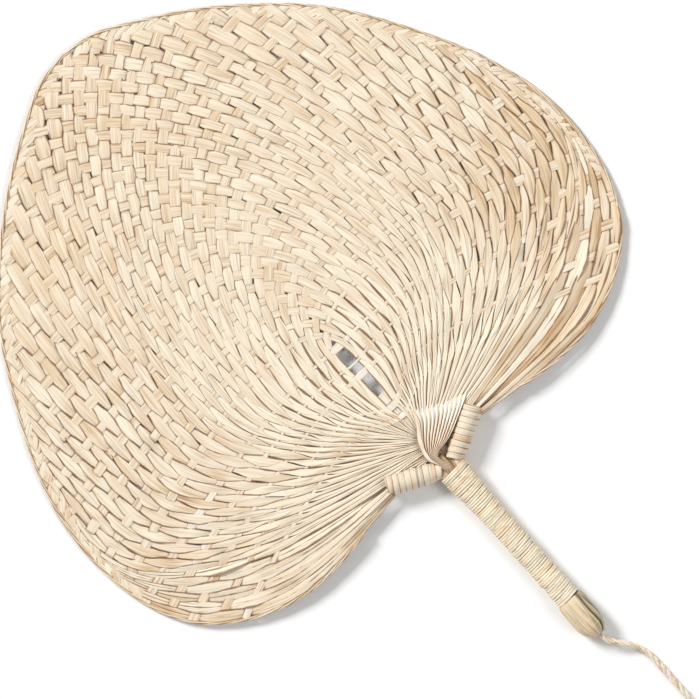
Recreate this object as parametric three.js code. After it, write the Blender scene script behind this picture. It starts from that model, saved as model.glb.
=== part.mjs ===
// A palm leaf fan: one fan palm leaf, split, woven and bound to a wrapped handle with a hanging cord.
// Millimetres, +Z up. The fan lies on Z = 0 with its tip towards +Y and its handle along -Y.
import * as THREE from 'three';

// Blade
const BLADE_LENGTH = 265; // from the neck to the tip
const LOBE_REACH = 154.5; // from the axis to the widest point of a lobe
const EDGE_HEIGHT = 1.7; // middle of the blade above the table at its edge
const CLEARANCE = 0.35; // between pieces that lie against each other

// Leaf segments, each one a ribbon that stands for the two strips it is split into
const SEGMENTS_PER_SIDE = 20;
const STRIPS_PER_SEGMENT = 2;
const STRIPS_ACROSS = 23; // strips of one side that cross the axis into the other half
const STRIP_WIDTH = 3.4; // widest single strip
const STRIP_THICKNESS = 0.3;
const STRIP_FILL = 0.56; // share of the room between two neighbours that a segment takes up
const WARP_WAVE = 1.3; // how far a segment rises and dips in its own half
const WEFT_WAVE = 0.3; // and in the other half, away from the axis
const AXIS_ZONE = 22; // width of the band at the axis where both waves are alike

// Paths of the strips
const BASE_HEIGHT = 14; // from the neck to the point that the strips spread from
const PLEAT_RADIUS = 14; // where the strips leave the pleated leaf base
const SPLAY_FIRST = 3; // degrees from the axis at the innermost strip
const SPLAY_LAST = 82; // and at the outermost
const SPLAY_POWER = 0.65; // below 1, the inner strips spread wider than the outer ones
const SLIT_HALF = 2.6; // from the axis to the innermost strip
const TIP_BULGE = 71; // reach of the strip that ends at the tip
const FIRST_BULGE_HEIGHT = 50; // where the innermost strip is widest
const TIP_BULGE_HEIGHT = 98; // where the strip to the tip is widest
const LOBE_BULGE_HEIGHT = 86; // where the outermost strip is widest
const FIRST_CROSSING = 81; // where the two halves meet above the slit
const CROSSING_BOW = 0.137; // how much closer the crossings lie above the slit than at the tip
const FIRST_CROSSING_ANGLE = 14; // degrees above level as the innermost strip crosses the axis
const CROSSING_ANGLE = 50; // and as most of the others do
const TIP_CROSSING_ANGLE = 42; // and as the last one does at the tip
const ANGLE_RANKS = 2.2; // strips over which that angle steepens
const WEFT_CREST = 68; // from the axis to the crest of a strip in the other half
const FIRST_CREST = 0.44; // share of that on the innermost strip
const CREST_RANKS = 9; // strips over which it grows
const WEFT_RISE = 21; // from the axis up to that crest
const FIRST_RISE = 0.15; // share of that on the innermost strip
const RISE_RANKS = 3.4; // strips over which it grows
const WEFT_DROP = 34; // from the crest to the edge on the lowest strip
const LEAST_DROP = 1.5; // and on the uppermost
const DROP_RANKS = 4.5; // strips over which it fades
const DROP_FROM = 0.6; // share of the crest's reach where a strip starts to fall
const DROP_POWER = 1.7;
const TOP_EDGE_SHARE = 0.45; // share of the outline that the outer strips end on
const TOP_EDGE_POWER = 1.8; // above 1, their ends lie closer towards the lobe
const LEAN_FIRST = 46; // degrees that an outer strip leans inwards where it ends next to the tip
const LEAN_LAST = 2; // and on the lobe
const LEAN_FADE = 0.2; // share of the outer strips over which that lean fades
const ROOT_STEPS = 24;
const RISE_STEPS = 30;
const WEFT_STEPS = 60;

// Cross strips that bridge the slit
const CROSS_STRIPS = 5;
const CROSS_TOP = 71; // height of the uppermost at the axis
const CROSS_PITCH = 9;
const CROSS_WIDTH = 3.2;
const CROSS_DROP = 27; // how far the uppermost falls to the edge
const CROSS_DROP_STEP = 4; // how much more each next one falls

// Gathered edge and arms
const EDGE_HALF_WIDTH = 2.4;
const EDGE_HALF_THICKNESS = 1.6;
const TAILS_HALF_WIDTH = 9; // where the gathered strip ends spread out beside the arm
const TAILS_FROM = 0.55; // shares of the outline where the edge starts to widen,
const TAILS_WIDEST = 0.8; // where it is widest
const TAILS_GATHER = 0.84; // and where it starts to draw in to the arm
const ARM_RADIUS = 4;
const ARM_OUTER = new THREE.Vector2(27.5, 9.4);
const ARM_INNER = new THREE.Vector2(8.4, 0.2);
const EDGE_STEPS = 26;
const EDGE_END = 0.97; // share of the outline where the edge turns into the arm
const THROAT_HALF_WIDTH = 1.4; // the arm's strips where they enter the handle
const THROAT_HALF_THICKNESS = 3;
const THROAT_OFFSET = 0.9; // outwards from the tucked ends
const THROAT_DEPTH = 6; // below the neck

// Handle
const HANDLE_HEIGHT = 6.85; // handle axis above the table
const HANDLE_LENGTH = 110; // from the neck to the end of the cap
const HANDLE_RADIUS = 5.9; // outside of the binding along the grip
const NECK_RADIUS = 7.6; // outside of the binding at the neck
const NECK_FLARE = 16; // length over which the neck narrows
const HANDLE_FLATNESS = 0.88; // height of the handle's section as a share of its width
const HANDLE_LEAN = 0.022; // sideways run of the handle per millimetre
const STALK_TOP = 3.2; // above the neck
const STALK_HALF_WIDTH = 2.2;
const STALK_HALF_THICKNESS = 3.6;
const TAIL_HALF_WIDTH = 0.85; // tucked strip ends beside the stalk
const TAIL_HALF_THICKNESS = 2;
const TAIL_DEPTH = 65; // below the neck

// Bindings
const HANDLE_TURNS = 24;
const HANDLE_BINDING_TOP = 7; // below the neck
const HANDLE_BINDING_THICKNESS = 1;
const HANDLE_BINDING_END = 2.2; // from its last turn's middle to the end cap
const ARM_TURNS = 6;
const ARM_BINDING_THICKNESS = 0.7;
const ARM_BINDING_CLEARANCE = 0.5; // between the arm's facets and its binding
const ARM_BINDING_MARGIN = 1.5; // from the arm's ends to the binding's
const TURN_GAP = 0.5; // between neighbouring turns
const TURN_STEPS = 14;

// End cap
const CAP_LENGTH = 21.8;
const CAP_RADIUS = 7.3;
const CAP_MOUTH_RADIUS = 6.6;
const CAP_BORE = 4.15;
const CAP_LIP = 2.3; // length of the rounded mouth
const CAP_DOME = 8; // length of the rounded end
const CAP_NECK = 1.3; // length of the lip round the cord's hole
const CAP_LIP_WALL = 0.9;
const CORD_HOLE = 2; // radius of the hole that the cord leaves by
const CAP_SEAM = 56.25; // degrees round the handle from +X to the seam that shows

// Cord
const CORD_DIAMETER = 3.3;
const CORD_START_GAP = 0.7; // from the cap to the cord's free start, which leaves room to swing
const CORD_REST = CORD_DIAMETER / 2 + 0.1; // height of the cord's middle where it lies on the table
const KNOT_HALF = new THREE.Vector3(4, 4.4, 3.2);
const EYE_RADIUS = 17;
const EYE_SIDES = 6;
const EYE_STEPS = 24;

// Half outline from the tip round a lobe towards the arm, as shares of LOBE_REACH and BLADE_LENGTH
const HALF_OUTLINE = [
  [0, 1], [0.097, 0.992], [0.194, 0.968], [0.434, 0.88], [0.69, 0.742], [0.868, 0.575], [0.966, 0.438],
  [1, 0.302], [0.977, 0.185], [0.9, 0.092], [0.764, 0.028], [0.6, -0.006], [0.44, -0.008], [0.3, 0.004],
];

const STRIPS_PER_SIDE = SEGMENTS_PER_SIDE * STRIPS_PER_SEGMENT;
const { degToRad, smoothstep, lerp } = THREE.MathUtils;
const leafBase = new THREE.Vector2(0, BASE_HEIGHT);
const armRun = ARM_INNER.clone().sub(ARM_OUTER).normalize();
const armUnderside = ARM_OUTER.clone().add(new THREE.Vector2(-armRun.y, armRun.x).multiplyScalar(ARM_RADIUS));
const outline = new THREE.SplineCurve([
  ...HALF_OUTLINE.map(([x, y]) => new THREE.Vector2(x * LOBE_REACH, y * BLADE_LENGTH)),
  armUnderside,
]).getSpacedPoints(180);

const leaf = (color, roughness = 0.75) => new THREE.MeshStandardMaterial({ color, roughness, metalness: 0 });
const straw = leaf(0xdcc6a0);
const paleStraw = leaf(0xe6d5b5);
const bindingStraw = leaf(0xdfcaa5, 0.65);
const stalkTan = leaf(0xb99a6b);
const capTan = leaf(0xc9ad80);
const capGreen = leaf(0x9c9268);
const cordStraw = leaf(0xd9c29a, 0.8);

const fan = new THREE.Group();

// Middle surface of the blade: a shallow dome from the neck down to the edge
function bladeHeight(x, y) {
  const across = x / LOBE_REACH;
  const along = (y - BASE_HEIGHT) / (BLADE_LENGTH - BASE_HEIGHT);
  return EDGE_HEIGHT + (HANDLE_HEIGHT - EDGE_HEIGHT) * Math.max(0, 1 - across ** 2 - along ** 2);
}

// A closed body through rings of equal point counts; section is the ring's outline in its own plane
function loft(rings, section) {
  const count = rings[0].length;
  const positions = rings.flat().flatMap((p) => [p.x, p.y, p.z]);
  const faces = [];
  for (let r = 0; r + 1 < rings.length; r += 1) {
    for (let k = 0; k < count; k += 1) {
      const next = (k + 1) % count;
      const a = r * count + k;
      const b = r * count + next;
      faces.push([a, b, b + count], [a, b + count, a + count]);
    }
  }
  const last = (rings.length - 1) * count;
  for (const [a, b, c] of THREE.ShapeUtils.triangulateShape(section, [])) {
    faces.push([a, c, b], [last + a, last + b, last + c]);
  }
  const point = (i) => new THREE.Vector3().fromArray(positions, 3 * i);
  const volume = faces.reduce((sum, [a, b, c]) => sum + point(a).dot(point(b).cross(point(c))), 0);
  const outward = volume > 0 ? faces : faces.map(([a, b, c]) => [a, c, b]);
  const geometry = new THREE.BufferGeometry();
  geometry.setAttribute('position', new THREE.Float32BufferAttribute(positions, 3));
  geometry.setIndex(outward.flat());
  return geometry;
}

// Points of an ellipse, counterclockwise
function ellipse(halfWidth, halfHeight, sides) {
  return Array.from({ length: sides }, (_, k) => {
    const angle = (k / sides) * 2 * Math.PI;
    return new THREE.Vector2(halfWidth * Math.cos(angle), halfHeight * Math.sin(angle));
  });
}

// A ring that stands on end across a level run at (x, y, z)
function uprightRing(x, y, z, direction, section) {
  const side = new THREE.Vector2(-direction.y, direction.x).normalize();
  return section.map((q) => new THREE.Vector3(x + side.x * q.x, y + side.y * q.x, z + q.y));
}

function addMesh(name, geometry, material) {
  const mesh = new THREE.Mesh(geometry, material);
  mesh.name = name;
  fan.add(mesh);
}

// Points of a cubic from p0 to p1 with end directions d0 and d1, without the last point
function bend(p0, d0, p1, d1, count) {
  return Array.from({ length: count }, (_, k) => {
    const t = k / count;
    const s = 1 - t;
    const point = p0.clone().multiplyScalar(s * s * (1 + 2 * t));
    point.addScaledVector(d0, t * s * s).addScaledVector(p1, t * t * (3 - 2 * t));
    return point.addScaledVector(d1, -t * t * s);
  });
}

// Place and inward direction at a share of the half outline's length
function outlineAt(share) {
  const at = Math.min(share * (outline.length - 1), outline.length - 1.001);
  const k = Math.floor(at);
  const run = outline[k + 1].clone().sub(outline[k]);
  const point = outline[k].clone().addScaledVector(run, at - k);
  run.normalize();
  return { point, run, inward: new THREE.Vector2(run.y, -run.x) };
}

// Half width of the gathered edge, which spreads out along the underside of a lobe and draws in to the arm
function edgeHalfWidth(share) {
  const spread = lerp(EDGE_HALF_WIDTH, TAILS_HALF_WIDTH, smoothstep(share, TAILS_FROM, TAILS_WIDEST));
  return lerp(spread, ARM_RADIUS, smoothstep(share, TAILS_GATHER, EDGE_END));
}

// The line of a right strip, counted from the axis, out of the leaf base and on into the left half
function stripLine(rank) {
  const share = rank / STRIPS_PER_SIDE;
  const splay = degToRad(SPLAY_FIRST + (SPLAY_LAST - SPLAY_FIRST) * share ** SPLAY_POWER);
  const outOfBase = new THREE.Vector2(Math.sin(splay), Math.cos(splay));
  const root = leafBase.clone().addScaledVector(outOfBase, PLEAT_RADIUS);
  const inner = Math.min(1, rank / STRIPS_ACROSS);
  const outer = Math.max(0, (rank - STRIPS_ACROSS) / (STRIPS_PER_SIDE - STRIPS_ACROSS));
  const lobeBulge = LOBE_REACH - 2 * EDGE_HALF_WIDTH - CLEARANCE;
  const bulge = new THREE.Vector2(
    lerp(SLIT_HALF, TIP_BULGE, inner) + (lobeBulge - TIP_BULGE) * outer,
    lerp(FIRST_BULGE_HEIGHT, TIP_BULGE_HEIGHT, inner ** 0.8)
      + (LOBE_BULGE_HEIGHT - TIP_BULGE_HEIGHT) * outer,
  );
  const reach = root.distanceTo(bulge);
  const up = new THREE.Vector2(0, 1);
  const leave = outOfBase.multiplyScalar(reach);
  const line = bend(root, leave, bulge, up.clone().multiplyScalar(reach), ROOT_STEPS);
  if (outer > 0) {
    const end = outlineAt(TOP_EDGE_SHARE * (1 - (1 - outer) ** TOP_EDGE_POWER)).point;
    const lean = degToRad(lerp(LEAN_LAST, LEAN_FIRST, Math.exp(-outer / LEAN_FADE)));
    const rise = bulge.distanceTo(end);
    const arrive = new THREE.Vector2(-Math.sin(lean), Math.cos(lean)).multiplyScalar(rise);
    return [...line, ...bend(bulge, up.multiplyScalar(1.1 * rise), end, arrive, RISE_STEPS), end];
  }
  const crossing = new THREE.Vector2(
    0,
    lerp(FIRST_CROSSING, BLADE_LENGTH, lerp(inner, inner ** 2, CROSSING_BOW)),
  );
  const lowAngle = lerp(CROSSING_ANGLE, FIRST_CROSSING_ANGLE, Math.exp(-((rank / ANGLE_RANKS) ** 2)));
  const angle = degToRad(lowAngle + (TIP_CROSSING_ANGLE - CROSSING_ANGLE) * inner ** 3);
  const rise = bulge.distanceTo(crossing);
  const arrive = new THREE.Vector2(-Math.cos(angle), Math.sin(angle)).multiplyScalar(0.9 * rise);
  line.push(...bend(bulge, up.multiplyScalar(1.15 * rise), crossing, arrive, RISE_STEPS));
  const crest = WEFT_CREST * Math.min(1, FIRST_CREST + rank / CREST_RANKS);
  const gain = WEFT_RISE * lerp(1, FIRST_RISE, Math.exp(-((rank / RISE_RANKS) ** 2)));
  const drop = WEFT_DROP * Math.exp(-rank / DROP_RANKS) + LEAST_DROP;
  const power = Math.max(1.5, (Math.tan(angle) * crest) / gain);
  const dropFrom = DROP_FROM * crest;
  for (let k = 0; k <= WEFT_STEPS; k += 1) {
    const x = (k / WEFT_STEPS) * LOBE_REACH;
    const climb = gain * (1 - (1 - Math.min(1, x / crest)) ** power);
    const fall = drop * Math.max(0, (x - dropFrom) / (LOBE_REACH - dropFrom)) ** DROP_POWER;
    line.push(new THREE.Vector2(-x, crossing.y + climb - fall));
  }
  return line;
}

// The line of a cross strip over the right half, from the axis to the edge
function crossLine(index) {
  const top = CROSS_TOP - index * CROSS_PITCH;
  const drop = CROSS_DROP + index * CROSS_DROP_STEP;
  return Array.from({ length: WEFT_STEPS + 1 }, (_, k) => {
    const x = (k / WEFT_STEPS) * LOBE_REACH;
    return new THREE.Vector2(x, top - drop * (x / LOBE_REACH) ** DROP_POWER);
  });
}

const mirrored = (line) => line.map((p) => new THREE.Vector2(-p.x, p.y));

function distanceToLine(point, line) {
  let least = Infinity;
  for (let k = 0; k + 1 < line.length; k += 1) {
    const run = line[k + 1].clone().sub(line[k]);
    const along = THREE.MathUtils.clamp(
      point.clone().sub(line[k]).dot(run) / Math.max(run.lengthSq(), 1e-9),
      0,
      1,
    );
    least = Math.min(least, point.distanceTo(line[k].clone().addScaledVector(run, along)));
  }
  return least;
}

function directionAt(line, k) {
  return line[Math.min(k + 1, line.length - 1)].clone().sub(line[Math.max(k - 1, 0)]).normalize();
}

// How much room is left between a point of the blade and the gathered edge, and the edge's direction there
function roomToEdge(point) {
  const onRight = new THREE.Vector2(Math.abs(point.x), point.y);
  let nearest = 0;
  outline.forEach((p, k) => {
    if (p.distanceToSquared(onRight) < outline[nearest].distanceToSquared(onRight)) nearest = k;
  });
  const share = nearest / (outline.length - 1);
  const { point: foot, inward } = outlineAt(share);
  const room = onRight.clone().sub(foot).dot(inward) - 2 * edgeHalfWidth(share);
  return { room, inward: new THREE.Vector2(Math.sign(point.x || 1) * inward.x, inward.y) };
}

// The last point of a line before its ribbon would meet the gathered edge, looked for from a point on
function lastClear(line, widthAt, first) {
  for (let k = first; k < line.length; k += 1) {
    const { room, inward } = roomToEdge(line[k]);
    const side = directionAt(line, k).rotateAround(new THREE.Vector2(), Math.PI / 2);
    if (room < CLEARANCE + (widthAt(line[k]) / 2) * Math.abs(side.dot(inward))) return k - 1;
  }
  return line.length - 1;
}

// Where two lines cross, as places along both, or null
function crossingOf(a, b) {
  for (let i = 0; i + 1 < a.length; i += 1) {
    const p = a[i];
    const r = a[i + 1].clone().sub(p);
    for (let j = 0; j + 1 < b.length; j += 1) {
      const s = b[j + 1].clone().sub(b[j]);
      const turn = r.cross(s);
      const gap = b[j].clone().sub(p);
      const onA = gap.cross(s) / turn;
      const onB = gap.cross(r) / turn;
      if (turn !== 0 && onA >= 0 && onA < 1 && onB >= 0 && onB < 1) return { onA: i + onA, onB: j + onB };
    }
  }
  return null;
}

function pointAt(line, place) {
  const k = Math.min(Math.floor(place), line.length - 2);
  return line[k].clone().lerp(line[k + 1], place - k);
}

// How far a strip waves at x, in its own half (ownSide is 1 for the right) or in the other one
function waveAt(x, ownSide) {
  if (x * ownSide >= 0) return WARP_WAVE;
  return lerp(WARP_WAVE, WEFT_WAVE, smoothstep(Math.abs(x), 0, AXIS_ZONE));
}

// Lift of a ribbon at a place between the passes on either side of it
function liftAt(passes, place) {
  const before = passes.filter((pass) => pass.place <= place).at(-1) ?? { place: 0, lift: 0 };
  const after = passes.find((pass) => pass.place > place) ?? { place: place + 1, lift: before.lift };
  return lerp(before.lift, after.lift, (place - before.place) / (after.place - before.place));
}

// A woven ribbon along a line between two places, with a ring wherever it passes another ribbon
function wovenRibbon(line, passes, widthAt, first, last) {
  passes.sort((a, b) => a.place - b.place);
  const between = passes.filter(({ place }) => place > first + 0.3 && place < last - 0.3);
  const stops = [
    { place: first, lift: liftAt(passes, first) },
    ...between,
    { place: last, lift: liftAt(passes, last) },
  ];
  const rings = stops.map(({ place, lift }) => {
    const middle = pointAt(line, place);
    const z = bladeHeight(middle.x, middle.y) + lift;
    const width = widthAt(middle);
    const section = [
      new THREE.Vector2(width / 2, STRIP_THICKNESS / 2),
      new THREE.Vector2(-width / 2, STRIP_THICKNESS / 2),
      new THREE.Vector2(-width / 2, -STRIP_THICKNESS / 2),
      new THREE.Vector2(width / 2, -STRIP_THICKNESS / 2),
    ];
    const direction = directionAt(line, Math.round(place));
    return { ring: uprightRing(middle.x, middle.y, z, direction, section), section };
  });
  return loft(rings.map(({ ring }) => ring), rings[0].section);
}

// Weaves the segments of both halves and the cross strips through each other
function addWeave() {
  const segmentWidth = STRIP_WIDTH * STRIPS_PER_SEGMENT;
  const ranks = Array.from({ length: SEGMENTS_PER_SIDE }, (_, k) => (k + 0.5) * STRIPS_PER_SEGMENT);
  const rightLines = ranks.map(stripLine);
  const lines = { right: rightLines, left: rightLines.map(mirrored) };
  const crossLines = Array.from({ length: CROSS_STRIPS }, (_, m) => {
    const half = crossLine(m);
    return [...mirrored(half).reverse(), ...half.slice(1)];
  });
  const passes = { right: ranks.map(() => []), left: ranks.map(() => []), cross: crossLines.map(() => []) };

  lines.right.forEach((right, j) => {
    lines.left.forEach((left, i) => {
      const meet = crossingOf(right, left);
      if (!meet) return;
      const { x } = pointAt(right, meet.onA);
      const leftOver = (i + j) % 2 === 0 ? 1 : -1;
      passes.right[j].push({ place: meet.onA, lift: -leftOver * waveAt(x, 1) });
      passes.left[i].push({ place: meet.onB, lift: leftOver * waveAt(x, -1) });
    });
    crossLines.forEach((cross, m) => {
      for (const [side, over] of [['right', 1], ['left', -1]]) {
        const meet = crossingOf(lines[side][j], cross);
        if (!meet) continue;
        const lift = (m + j) % 2 === 0 ? over : -over;
        passes[side][j].push({ place: meet.onA, lift: lift * WARP_WAVE });
        passes.cross[m].push({ place: meet.onB, lift: 0 });
      }
    });
  });

  for (const side of ['right', 'left']) {
    lines[side].forEach((line, k) => {
      const neighbours = [lines[side][k - 1], lines[side][k + 1]].filter(Boolean);
      const widthAt = (point) => {
        const room = Math.min(...neighbours.map((other) => distanceToLine(point, other)));
        return Math.min(segmentWidth, STRIP_FILL * room);
      };
      const name = `${side}_segment_${String(k + 1).padStart(2, '0')}`;
      const ribbon = wovenRibbon(line, passes[side][k], widthAt, 0, lastClear(line, widthAt, ROOT_STEPS + 1));
      addMesh(name, ribbon, k % 3 === 0 ? paleStraw : straw);
    });
  }
  crossLines.forEach((line, m) => {
    const widthAt = () => CROSS_WIDTH;
    const middle = (line.length - 1) / 2;
    const last = lastClear(line, widthAt, middle);
    const ribbon = wovenRibbon(line, passes.cross[m], widthAt, 2 * middle - last, last);
    addMesh(`cross_strip_${m + 1}`, ribbon, paleStraw);
  });
}

// Pleated leaf base of one side: folds that open from the neck to the arc where the strips begin
function addLeafBase(side, name) {
  const folds = SEGMENTS_PER_SIDE;
  const radius = PLEAT_RADIUS - CLEARANCE;
  const neck = { x: 1.7, y: 3.6 };
  const depth = { neck: 0.35, arc: 1.1 };
  const thickness = 0.8;
  const first = degToRad(SPLAY_FIRST);
  const last = degToRad(SPLAY_LAST);
  const rings = Array.from({ length: folds + 1 }, (_, k) => {
    const share = k / folds;
    const angle = lerp(first, last, share);
    const zigzag = k % 2 === 0 ? 1 : -1;
    const low = { x: lerp(CLEARANCE, neck.x, share), y: neck.y, z: HANDLE_HEIGHT + zigzag * depth.neck };
    const high = {
      x: Math.max(CLEARANCE, radius * Math.sin(angle)),
      y: BASE_HEIGHT + radius * Math.cos(angle),
      z: HANDLE_HEIGHT + zigzag * depth.arc,
    };
    return [
      new THREE.Vector3(side * low.x, low.y, low.z - thickness / 2),
      new THREE.Vector3(side * high.x, high.y, high.z - thickness / 2),
      new THREE.Vector3(side * high.x, high.y, high.z + thickness / 2),
      new THREE.Vector3(side * low.x, low.y, low.z + thickness / 2),
    ];
  });
  const section = [[0, 0], [1, 0], [1, 1], [0, 1]].map(([x, y]) => new THREE.Vector2(x, y));
  addMesh(name, loft(rings, section), paleStraw);
}

// Sideways place of the handle's axis at a distance below the neck
const handleAxis = (below) => -HANDLE_LEAN * Math.max(0, below - HANDLE_BINDING_TOP);

// Half width of the handle over its binding
function handleRadius(below) {
  const flare = Math.exp(-((Math.max(0, below - HANDLE_BINDING_TOP) / NECK_FLARE) ** 2));
  return lerp(HANDLE_RADIUS, NECK_RADIUS, flare);
}

// Strip ends that run along the edge, gather in the arm and are tucked beside the stalk
function addGatheredEdge(side, name) {
  const sides = 8;
  const rings = [];
  const addRing = (x, y, direction, halfWidth, halfThickness) => {
    const z = y < ARM_INNER.y ? HANDLE_HEIGHT : bladeHeight(x, y);
    const aim = new THREE.Vector2(side * direction.x, direction.y);
    rings.push(uprightRing(side * x, y, z, aim, ellipse(halfWidth, halfThickness, sides)));
  };
  for (let k = 0; k <= EDGE_STEPS; k += 1) {
    const share = (k / EDGE_STEPS) * EDGE_END;
    const { point, run, inward } = outlineAt(share);
    const half = edgeHalfWidth(share);
    const middle = point.addScaledVector(inward, half);
    const thickness = lerp(EDGE_HALF_THICKNESS, ARM_RADIUS, smoothstep(share, TAILS_GATHER, EDGE_END));
    if (k === 0) addRing(CLEARANCE, middle.y, new THREE.Vector2(1, 0), half, thickness);
    else addRing(middle.x, middle.y, run, half, thickness);
  }
  addRing(ARM_OUTER.x, ARM_OUTER.y, armRun, ARM_RADIUS, ARM_RADIUS);
  addRing(ARM_INNER.x, ARM_INNER.y, armRun, ARM_RADIUS, ARM_RADIUS);
  const tailSide = STALK_HALF_WIDTH + CLEARANCE + TAIL_HALF_WIDTH;
  const down = new THREE.Vector2(0, -1);
  const intoHandle = new THREE.Vector2(-0.25, -1);
  addRing(tailSide + THROAT_OFFSET, -THROAT_DEPTH, intoHandle, THROAT_HALF_WIDTH, THROAT_HALF_THICKNESS);
  for (const below of [2 * HANDLE_BINDING_TOP, TAIL_DEPTH]) {
    const offset = side * handleAxis(below);
    addRing(tailSide + offset, -below, down, TAIL_HALF_WIDTH, TAIL_HALF_THICKNESS);
  }
  addMesh(name, loft(rings, ellipse(1, 1, sides)), straw);
}

// Leaf stalk from the leaf base down to the butt inside the end cap
function addStalk() {
  const butt = HANDLE_LENGTH - CAP_DOME;
  const stations = [
    [-STALK_TOP, 0.75], [HANDLE_BINDING_TOP, 0.95], [HANDLE_LENGTH / 2, 1], [butt - CAP_DOME, 1], [butt, 0.7],
  ];
  const rings = stations.map(([below, size]) => uprightRing(
    handleAxis(below),
    -below,
    HANDLE_HEIGHT,
    new THREE.Vector2(0, -1),
    ellipse(STALK_HALF_WIDTH * size, STALK_HALF_THICKNESS * size, 8),
  ));
  addMesh('leaf_stalk', loft(rings, ellipse(1, 1, 8)), stalkTan);
}

// A flat cord wound round a run of length long: placeAt(along, angle, radial) gives its points
function winding(name, turns, length, thickness, placeAt, radiusAt) {
  const pitch = length / turns;
  const half = (pitch - TURN_GAP) / 2;
  const section = [
    [0, -0.7], [0.5, -1], [1, -0.7], [1, 0.7], [0.5, 1], [0, 0.7],
  ].map(([r, a]) => new THREE.Vector2(r * thickness - thickness, a * half));
  const steps = turns * TURN_STEPS;
  const turnAngle = (2 * Math.PI) / TURN_STEPS;
  const rings = [];
  const centres = [];
  for (let k = -1; k <= steps + 1; k += 1) {
    const held = THREE.MathUtils.clamp(k, 0, steps);
    const angle = held * turnAngle;
    const straight = (k - held) * 2 * half;
    const radius = radiusAt((held / steps) * length);
    const along = (held / steps) * length + (straight / (2 * Math.PI * radius)) * pitch;
    const ring = section.map((q) => placeAt(along + q.y, angle, radius + q.x, straight));
    rings.push(ring);
    centres.push(placeAt(along, angle, radius - thickness / 2, straight));
  }
  let least = Infinity;
  centres.forEach((p, k) => {
    for (let m = k + TURN_STEPS - 2; m < Math.min(centres.length, k + TURN_STEPS + 3); m += 1) {
      least = Math.min(least, p.distanceTo(centres[m]) - 2 * half);
    }
  });
  console.log(`${name}: least gap between turns ${least.toFixed(2)} mm`);
  return loft(rings, section);
}

// Binding of the handle from the neck to the end cap
function addHandleBinding() {
  const length = HANDLE_LENGTH - CAP_LENGTH - HANDLE_BINDING_TOP - HANDLE_BINDING_END;
  const placeAt = (along, angle, radial, straight) => {
    const below = HANDLE_BINDING_TOP + along;
    const x = radial * Math.cos(angle) - straight * Math.sin(angle);
    const z = radial * Math.sin(angle) + straight * Math.cos(angle);
    return new THREE.Vector3(handleAxis(below) + x, -below, HANDLE_HEIGHT + z * HANDLE_FLATNESS);
  };
  const radiusAt = (along) => handleRadius(HANDLE_BINDING_TOP + along);
  const geometry = winding(
    'handle_binding', HANDLE_TURNS, length, HANDLE_BINDING_THICKNESS, placeAt, radiusAt,
  );
  addMesh('handle_binding', geometry, bindingStraw);
}

// Leaf strip wound round an arm
function addArmBinding(side, name) {
  const length = ARM_INNER.distanceTo(ARM_OUTER) - 2 * ARM_BINDING_MARGIN;
  const start = ARM_OUTER.clone().addScaledVector(armRun, ARM_BINDING_MARGIN);
  const radius = ARM_RADIUS + ARM_BINDING_CLEARANCE + ARM_BINDING_THICKNESS;
  const placeAt = (along, angle, radial, straight) => {
    const across = radial * Math.cos(angle) - straight * Math.sin(angle);
    const z = radial * Math.sin(angle) + straight * Math.cos(angle);
    const x = start.x + armRun.x * along - armRun.y * across;
    const y = start.y + armRun.y * along + armRun.x * across;
    const middle = start.clone().addScaledVector(armRun, along);
    return new THREE.Vector3(side * x, y, bladeHeight(middle.x, middle.y) + z);
  };
  const geometry = winding(name, ARM_TURNS, length, ARM_BINDING_THICKNESS, placeAt, () => radius);
  addMesh(name, geometry, bindingStraw);
}

// One of the two folded leaves over the butt of the handle, as half a hollow cap from a seam angle on
function addCapLeaf(name, seam, material) {
  const stations = [
    { below: 0, outer: CAP_MOUTH_RADIUS, inner: CAP_BORE },
    { below: CAP_LIP, outer: CAP_RADIUS, inner: CAP_BORE },
    { below: CAP_LENGTH - CAP_DOME, outer: CAP_RADIUS, inner: CAP_BORE },
    { below: CAP_LENGTH - CAP_DOME / 2, outer: 0.8 * CAP_RADIUS, inner: lerp(CORD_HOLE, CAP_BORE, 0.4) },
    { below: CAP_LENGTH - CAP_NECK, outer: 0.57 * CAP_RADIUS, inner: CORD_HOLE },
    { below: CAP_LENGTH, outer: CORD_HOLE + CAP_LIP_WALL, inner: CORD_HOLE },
  ];
  const arcSteps = 8;
  const rings = stations.map(({ below, outer, inner }) => {
    const fromNeck = HANDLE_LENGTH - CAP_LENGTH + below;
    const arc = (radius) => Array.from({ length: arcSteps + 1 }, (_, k) => {
      const angle = degToRad(seam + (180 * k) / arcSteps);
      const seamGap = (k === 0 ? 1 : k === arcSteps ? -1 : 0) * (CLEARANCE / 2);
      const x = radius * Math.cos(angle) - seamGap * Math.sin(angle);
      const z = radius * Math.sin(angle) + seamGap * Math.cos(angle);
      return new THREE.Vector3(
        handleAxis(fromNeck) + x,
        -fromNeck,
        Math.max(0, HANDLE_HEIGHT + z),
      );
    });
    return [...arc(outer), ...arc(inner).reverse()];
  });
  const section = rings[0].map((p) => new THREE.Vector2(p.x, p.z));
  addMesh(name, loft(rings, section), material);
}

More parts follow.
